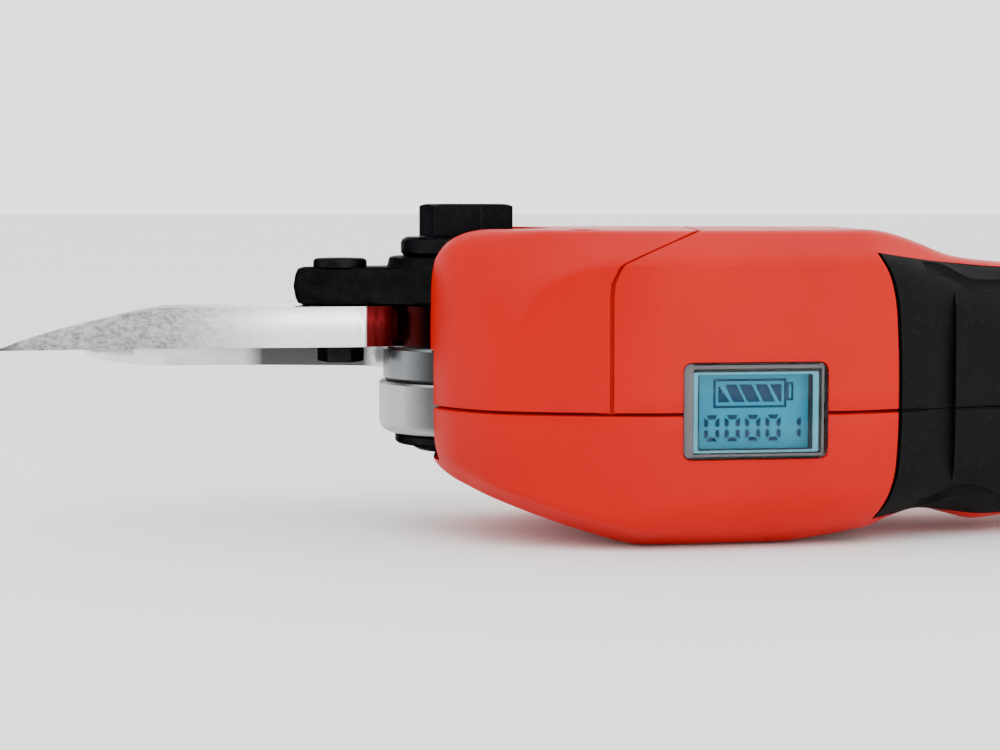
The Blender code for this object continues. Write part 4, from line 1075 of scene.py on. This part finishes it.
def make_arm():
    side = rounded(list(ARM_SIDE), False, 5)
    outline = side + arc(COLLAR_R, 124, -124, 60)
    arm = forging(outline, (-8.0, -1.5), ARM_BOTTOM, ARM_TOP, 0.8, 1.5)
    collar = turned([(0, ARM_BOTTOM + 1), (COLLAR_R + 0.4, ARM_BOTTOM + 1),
                     (COLLAR_R + 0.4, ARM_TOP - 0.1), (COLLAR_R + 0.1, ARM_TOP + 0.3),
                     (COLLAR_R - 0.1, ARM_TOP + 0.9), (COLLAR_R - 0.15, COLLAR_TOP - 0.7),
                     (COLLAR_R - 0.4, COLLAR_TOP - 0.2), (COLLAR_R - 1.1, COLLAR_TOP),
                     (0, COLLAR_TOP)])
    boolean(arm, collar, "UNION")
    boolean(arm, sector(), "UNION")
    boolean(arm, rod(BLADE_BORE_R, *THROUGH))
    boolean(arm, rod(BLADE_SCREW_HOLE, *THROUGH, BLADE_SCREW))
    add_piece("drive_arm_forging", arm, FORGED, "drive_arm", "blade", 32)
    screw = [(0, 8.3), (3.0, 8.3), (3.0, ARM_TOP + 0.05), (5.45, ARM_TOP + 0.05),
             (5.45, ARM_TOP + 1.15), (5.2, ARM_TOP + 1.6), (4.7, ARM_TOP + 1.8),
             (2.7, ARM_TOP + 1.8), (2.4, ARM_TOP + 0.8), (0, ARM_TOP + 0.8)]
    add_piece("blade_screw_steel", turned(screw, 48, centre=BLADE_SCREW), BLACKENED, "blade_screw",
              "blade")
    nut = plate(circle(4.7, 6, BLADE_SCREW), 8.0, BLADE_BOTTOM - 0.3, 0.5)
    boolean(nut, rod(BLADE_SCREW_HOLE, *THROUGH, BLADE_SCREW))
    add_piece("blade_nut_steel", nut, BLACKENED, "blade_nut", "blade")


# Bevel teeth: every line runs to the tip of the cones on the pivot line.
PITCH_AT, PITCH_R, GEAR_TEETH, SECTOR_TEETH = 25.0, 7.5, 40, 8
FACE_START, FACE_END, ADDENDUM, DEDENDUM = 19.6, 26.2, 1.0, 1.4
SECTOR_HIDDEN, SECTOR_TOP = 12.0, 25.0       # how far the sector reaches into the arm


def sector():
    spread_angle = 180 / GEAR_TEETH * SECTOR_TEETH
    inner = arc(FACE_START - 1, -spread_angle, spread_angle, 25)
    outer = arc(FACE_END, -spread_angle, spread_angle, 25)
    hidden = arc(SECTOR_HIDDEN, -spread_angle, spread_angle, 25)
    root_in = APEX_Z + (PITCH_R + DEDENDUM) * (FACE_START - 1) / PITCH_AT
    root_out = APEX_Z + (PITCH_R + DEDENDUM) * FACE_END / PITCH_AT
    rows = [[(*p, ARM_BOTTOM + 0.6) for p in hidden], [(*p, ARM_BOTTOM) for p in inner],
            [(*p, max(root_in, ARM_BOTTOM - 2.6)) for p in inner], [(*p, root_out) for p in outer],
            [(*p, SECTOR_TOP) for p in outer], [(*p, SECTOR_TOP) for p in hidden]]
    body = loft([[row[k] for row in rows] for k in range(len(inner))])
    for k in range(SECTOR_TEETH):
        angle = 2 * math.pi / GEAR_TEETH * (k - (SECTOR_TEETH - 1) / 2)
        rings = []
        for distance in (FACE_START, FACE_END):
            ratio = distance / PITCH_AT
            ring = []
            for half, height in ((-1.42, -DEDENDUM - 0.8), (1.42, -DEDENDUM - 0.8), (0.80, 0.0),
                                 (0.42, ADDENDUM), (-0.42, ADDENDUM), (-0.80, 0.0)):
                turn = angle + half * ratio / distance
                ring.append((distance * math.cos(turn), distance * math.sin(turn),
                             APEX_Z + (PITCH_R - height) * ratio))
            rings.append(ring)
        boolean(body, loft(rings), "UNION")
    return body


# ---- trigger side
TRIGGER_PIN = (84.0, 17.5)
TRIGGER_OUTLINE = ((80.0, 19.5, 2), (86.0, 21.5, 3), (89.5, 28.0, 4), (93.0, 37.0, 4),
                   (98.5, 45.0, 4), (103.5, 47.5, 2.5), (107.2, 44.0, 3), (107.0, 33.0, 5),
                   (104.5, 22.0, 5), (98.0, 14.5, 5), (88.0, 12.8, 2), (81.0, 14.0, 2))
# Half thickness, half width and middle height of the guard; it thickens towards its two feet
GUARD_HALF, GUARD_WIDE, GUARD_Z = 2.0, 5.5, 3.0
FOOT_GROWTH, FOOT_STEPS = 0.8, 9.0
GUARD_PATH = ((58.4, 30.5), (59.0, 33.0), (61.5, 43.0), (71.0, 54.0), (86.0, 60.0),
              (102.0, 59.0), (114.0, 51.0), (122.0, 35.5), (122.9, 34.0))


def make_controls():
    outline = rounded(list(TRIGGER_OUTLINE), True, 4)
    trigger = plate(outline, -2.0, 8.0, 1.6, 4)
    boolean(trigger, rod(2.08, -40, 40, TRIGGER_PIN, 32))
    add_piece("trigger_lever", trigger, BLACK, "trigger", "trigger", 35)
    middle = [Vector(p) for p in curve(GUARD_PATH, 8)]
    rings = []
    last = len(middle) - 1
    for k, point in enumerate(middle):
        along = (middle[min(k + 1, last)] - middle[max(k - 1, 0)]).normalized()
        side = Vector((-along.y, along.x))
        flare = 1.0 + FOOT_GROWTH * max(0.0, 1.0 - min(k, last - k) / FOOT_STEPS) ** 2
        half, wide = GUARD_HALF * flare, GUARD_WIDE
        section = rounded([(-half, -wide, 1.4), (half, -wide, 1.4), (half, wide, 1.4),
                           (-half, wide, 1.4)], True, 4)
        rings.append([(*(point + side * a), GUARD_Z + b) for a, b in section])
    guard = loft(rings)
    add_piece("trigger_guard_loop", guard, BLACK, "trigger_guard", smooth=35)
    profile = [(0, 24.0), (5.5, 24.0), (5.5, 30.2), (5.2, 30.7), (4.6, 31.0), (3.4, 30.75),
               (0, 30.6)]
    button = placed(turned(profile, 48), BUTTON_FRAME)
    add_piece("power_button_cap", button, DARK_GREY, "power_button", "power_button", 35)


# ---- battery
CASE_WALL = 2.6
GROOVES, GROOVE_START, GROOVE_PITCH = 6, 26.0, 6.0
battery_frame = at(*BATTERY_AT) @ Matrix.Rotation(HANDLE_TILT, 4, "Z")


def battery_section(grow):
    """Outline of the battery across its length as (v, z)."""
    h, l, r = BATTERY_HALF + grow, BATTERY_LEFT + grow, BATTERY_RIGHT - grow
    return rounded([(-h, r, 6), (h, r, 6), (h, l, 6), (-h, l, 6)], True, 6)


def battery_body(steps):
    """Loft of the section at (distance along, how far in) steps."""
    return loft([[(u, v, z) for v, z in battery_section(-inset)] for u, inset in steps])


def make_battery():
    end = BATTERY_LENGTH - 6.0
    ribs = [(0.5, 1.2), (1.2, 0.4), (2.4, 0.0), (12.0, 0.0)]
    for k in range(GROOVES):
        u = GROOVE_START + GROOVE_PITCH * k
        ribs += [(u, 0.0), (u + 0.6, 0.9), (u + 2.2, 0.9), (u + 2.8, 0.0)]
    ribs += [(end - 0.8, 0.0), (end, 0.5)]
    case = battery_body(ribs)
    boolean(case, battery_body([(3.0, CASE_WALL), (end + 5, CASE_WALL)]))
    boolean(case, box((-20, -12, -9), (3.2, 12, 12), 1.0), "UNION")
    boolean(case, box((-17.5, -9.5, -6.5), (8, 9.5, 9.5)))
    boolean(case, box((8.7, -BATTERY_HALF - 5, -6.3), (22.3, -BATTERY_HALF + 6, 8.8), 0.5))
    add_piece("battery_case_shell", placed(case, battery_frame), BLACK, "battery_case", "battery",
              35)
    lid = battery_body([(end + 0.3, 0.4), (end + 1.0, 0.0), (BATTERY_LENGTH - 2.2, 0.0),
                        (BATTERY_LENGTH - 0.6, 0.7), (BATTERY_LENGTH, 2.2)])
    corners = [(v, z) for v in (-BATTERY_HALF + 5.5, BATTERY_HALF - 5.5)
               for z in (BATTERY_RIGHT + 6.5, BATTERY_LEFT - 6.5)]
    for k, (v, z) in enumerate(corners, 1):
        boolean(lid, placed(rod(3.2, BATTERY_LENGTH - 2.6, 90, count=32), at(0, v, z) @ ALONG_X))
        boolean(lid, placed(rod(1.8, end - 5, 90, count=32), at(0, v, z) @ ALONG_X))
        head = turned([(0, end + 1.0), (1.5, end + 1.0), (1.5, BATTERY_LENGTH - 2.3),
                       (2.9, BATTERY_LENGTH - 2.3), (2.9, BATTERY_LENGTH - 1.3),
                       (2.4, BATTERY_LENGTH - 0.8), (1.3, BATTERY_LENGTH - 0.8),
                       (1.2, BATTERY_LENGTH - 1.7), (0, BATTERY_LENGTH - 1.7)], 32)
        head = placed(head, battery_frame @ at(0, v, z) @ ALONG_X)
        add_piece(f"battery_screw_{k}_steel", head, BLACKENED, f"battery_screw_{k}", "battery")
    add_piece("battery_lid_shell", placed(lid, battery_frame), DARK_GREY, "battery_lid", "battery",
              35)
    latch = box((9.0, -BATTERY_HALF - 0.8, -6.0), (22.0, -BATTERY_HALF + 2.0, 8.5), 0.6)
    for k in range(4):
        groove = box((11.0 + 2.6 * k, -BATTERY_HALF - 2, -4.5), (12.0 + 2.6 * k,
                                                                -BATTERY_HALF - 0.4, 7.0))
        boolean(latch, groove)
    add_piece("latch_button_cap", placed(latch, battery_frame), RUBBER, "latch_button", "latch")


def screw_piece(node_name, place, head_r, head_h, shaft_r, under, end):
    """Socket-head screw along Z: under is the underside of its head, end its far end."""
    up = 1 if under > end else -1
    profile = [(0, end), (shaft_r, end), (shaft_r, under)]
    profile += [(head_r * r, under + up * head_h * h)
                for r, h in ((1.0, 0.0), (1.0, 0.55), (0.9, 0.9), (0.78, 1.0), (0.45, 1.0),
                             (0.42, 0.45), (0.0, 0.45))]
    add_piece(f"{node_name}_steel", turned(profile, 36, centre=place), BLACKENED, node_name)


def make_screws():
    for group, places, sizes in (("shell", SCREW_PLACES, (3.2, 2.2, 1.6, -14.6, 11.6)),
                                 ("cover", COVER_PLACES, (3.2, 2.2, 1.6, 28.6, -11.6)),
                                 ("hook", HOOK_SCREWS, (4.3, 2.3, 2.5, 11.4, -2.0))):
        for k, place in enumerate(places, 1):
            screw_piece(f"{group}_screw_{k}", place, *sizes)


KEPT = {
    "bevel_pinion": ZINC, "pinion_bearing": ZINC, "gearbox_case": BLACKENED, "motor_can": ZINC,
    "motor_end_bell": BLACK, "trigger_pin": ZINC, "trigger_spring": ZINC,
    "trigger_sensor": BLACK, "control_board": BOARD, "battery_contacts": COPPER,
    "battery_dock": DARK_GREY, "cell_1": CELL, "cell_2": CELL, "cell_3": CELL, "cell_4": CELL,
}


def dress_kept_nodes():
    for name, look in KEPT.items():
        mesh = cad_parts[name].data
        mesh.materials.clear()
        mesh.materials.append(look)


# ---- studio
# White tent: its walls, a darker gap in front of the spine and extra glow behind the tool
SOFT_WALL, DARK_GAP, BACK_GLOW = 1.9, 0.10, 0.42
GAP_AIM = (-0.45, -0.89, 0.0)
CAMERA_DISTANCE, CAMERA_RISE = 450.0, math.radians(4.5)
CAMERA_TARGET = Vector((6.98, -36.0, 7.7))
FOCAL, SENSOR = 85.3, 36.0
FLOOR_HALF = 6.0
# Name, place, target and size in metres from the pivot, and power
LIGHTS = (("key", (0.15, -0.55, 0.75), (0.03, 0, 0), (0.9, 0.7), 3.5),
          ("low", (0.42, -0.85, 0.09), (0.05, 0, -0.01), (0.8, 0.16), 1.3))


def make_camera():
    away = Vector((0, -math.cos(CAMERA_RISE), math.sin(CAMERA_RISE))) * CAMERA_DISTANCE
    data = bpy.data.cameras.new("camera")
    camera = new_object("camera", data)
    camera.location = PLACE @ (CAMERA_TARGET + away)
    camera.rotation_euler = (math.radians(90) - CAMERA_RISE, 0, 0)
    data.lens = FOCAL
    data.sensor_width = SENSOR
    data.clip_start = 0.01
    bpy.context.scene.camera = camera


def area_light(name, place, target, size, power):
    data = bpy.data.lights.new(name, "AREA")
    data.shape, data.size, data.size_y = "RECTANGLE", size[0], size[1]
    data.energy = power
    light = new_object(name, data)
    light.location = ORIGIN + Vector(place)
    aim = ORIGIN + Vector(target) - light.location
    light.rotation_euler = aim.to_track_quat("-Z", "Y").to_euler()


def facing(tree, aim, direction):
    """How far a direction agrees with a given one, 1 when they are the same."""
    product = node(tree, "ShaderNodeVectorMath", operation="DOT_PRODUCT")
    feed(product, 0, aim)
    product.inputs[1].default_value = direction
    return product.outputs["Value"]


def make_studio():
    floor_shape = bmesh.new()
    corners = [floor_shape.verts.new((x * FLOOR_HALF, y * FLOOR_HALF, 0))
               for x, y in ((-1, -1), (1, -1), (1, 1), (-1, 1))]
    floor_shape.faces.new(corners)
    mesh = bpy.data.meshes.new("floor")
    floor_shape.to_mesh(mesh)
    floor_shape.free()
    floor = new_object("floor", mesh)
    made, tree, shader = new_material("floor_white", (0.93, 0.93, 0.93), 0.9)
    feed(shader, "Base Color",
         ramp(tree, noise_at(tree, coordinates(tree), 3.0, 2.0), ((0.3, 0.92), (0.7, 0.94))))
    mesh.materials.append(made)
    world = bpy.data.worlds.new("studio")
    bpy.context.scene.world = world
    world.use_nodes = True
    tree = world.node_tree
    backdrop = tree.nodes["Background"]
    backdrop.inputs["Color"].default_value = (1.0, 1.0, 1.0, 1.0)
    aim = node(tree, "ShaderNodeTexCoord").outputs["Generated"]
    gap = spread(tree, facing(tree, aim, GAP_AIM), 0.80, 0.90, SOFT_WALL, DARK_GAP)
    glow = spread(tree, facing(tree, aim, (0.0, 1.0, 0.0)), 0.3, 0.9, 0.0, BACK_GLOW)
    total = node(tree, "ShaderNodeMath", operation="ADD")
    feed(total, 0, gap)
    feed(total, 1, glow)
    feed(backdrop, "Strength", total.outputs[0])
    for light in LIGHTS:
        area_light(*light)


make_camera()
make_studio()
make_body()
make_grips()
make_display()
make_stack()
make_housing()
make_hook()
make_blade()
make_arm()
make_controls()
make_battery()
make_screws()
dress_kept_nodes()
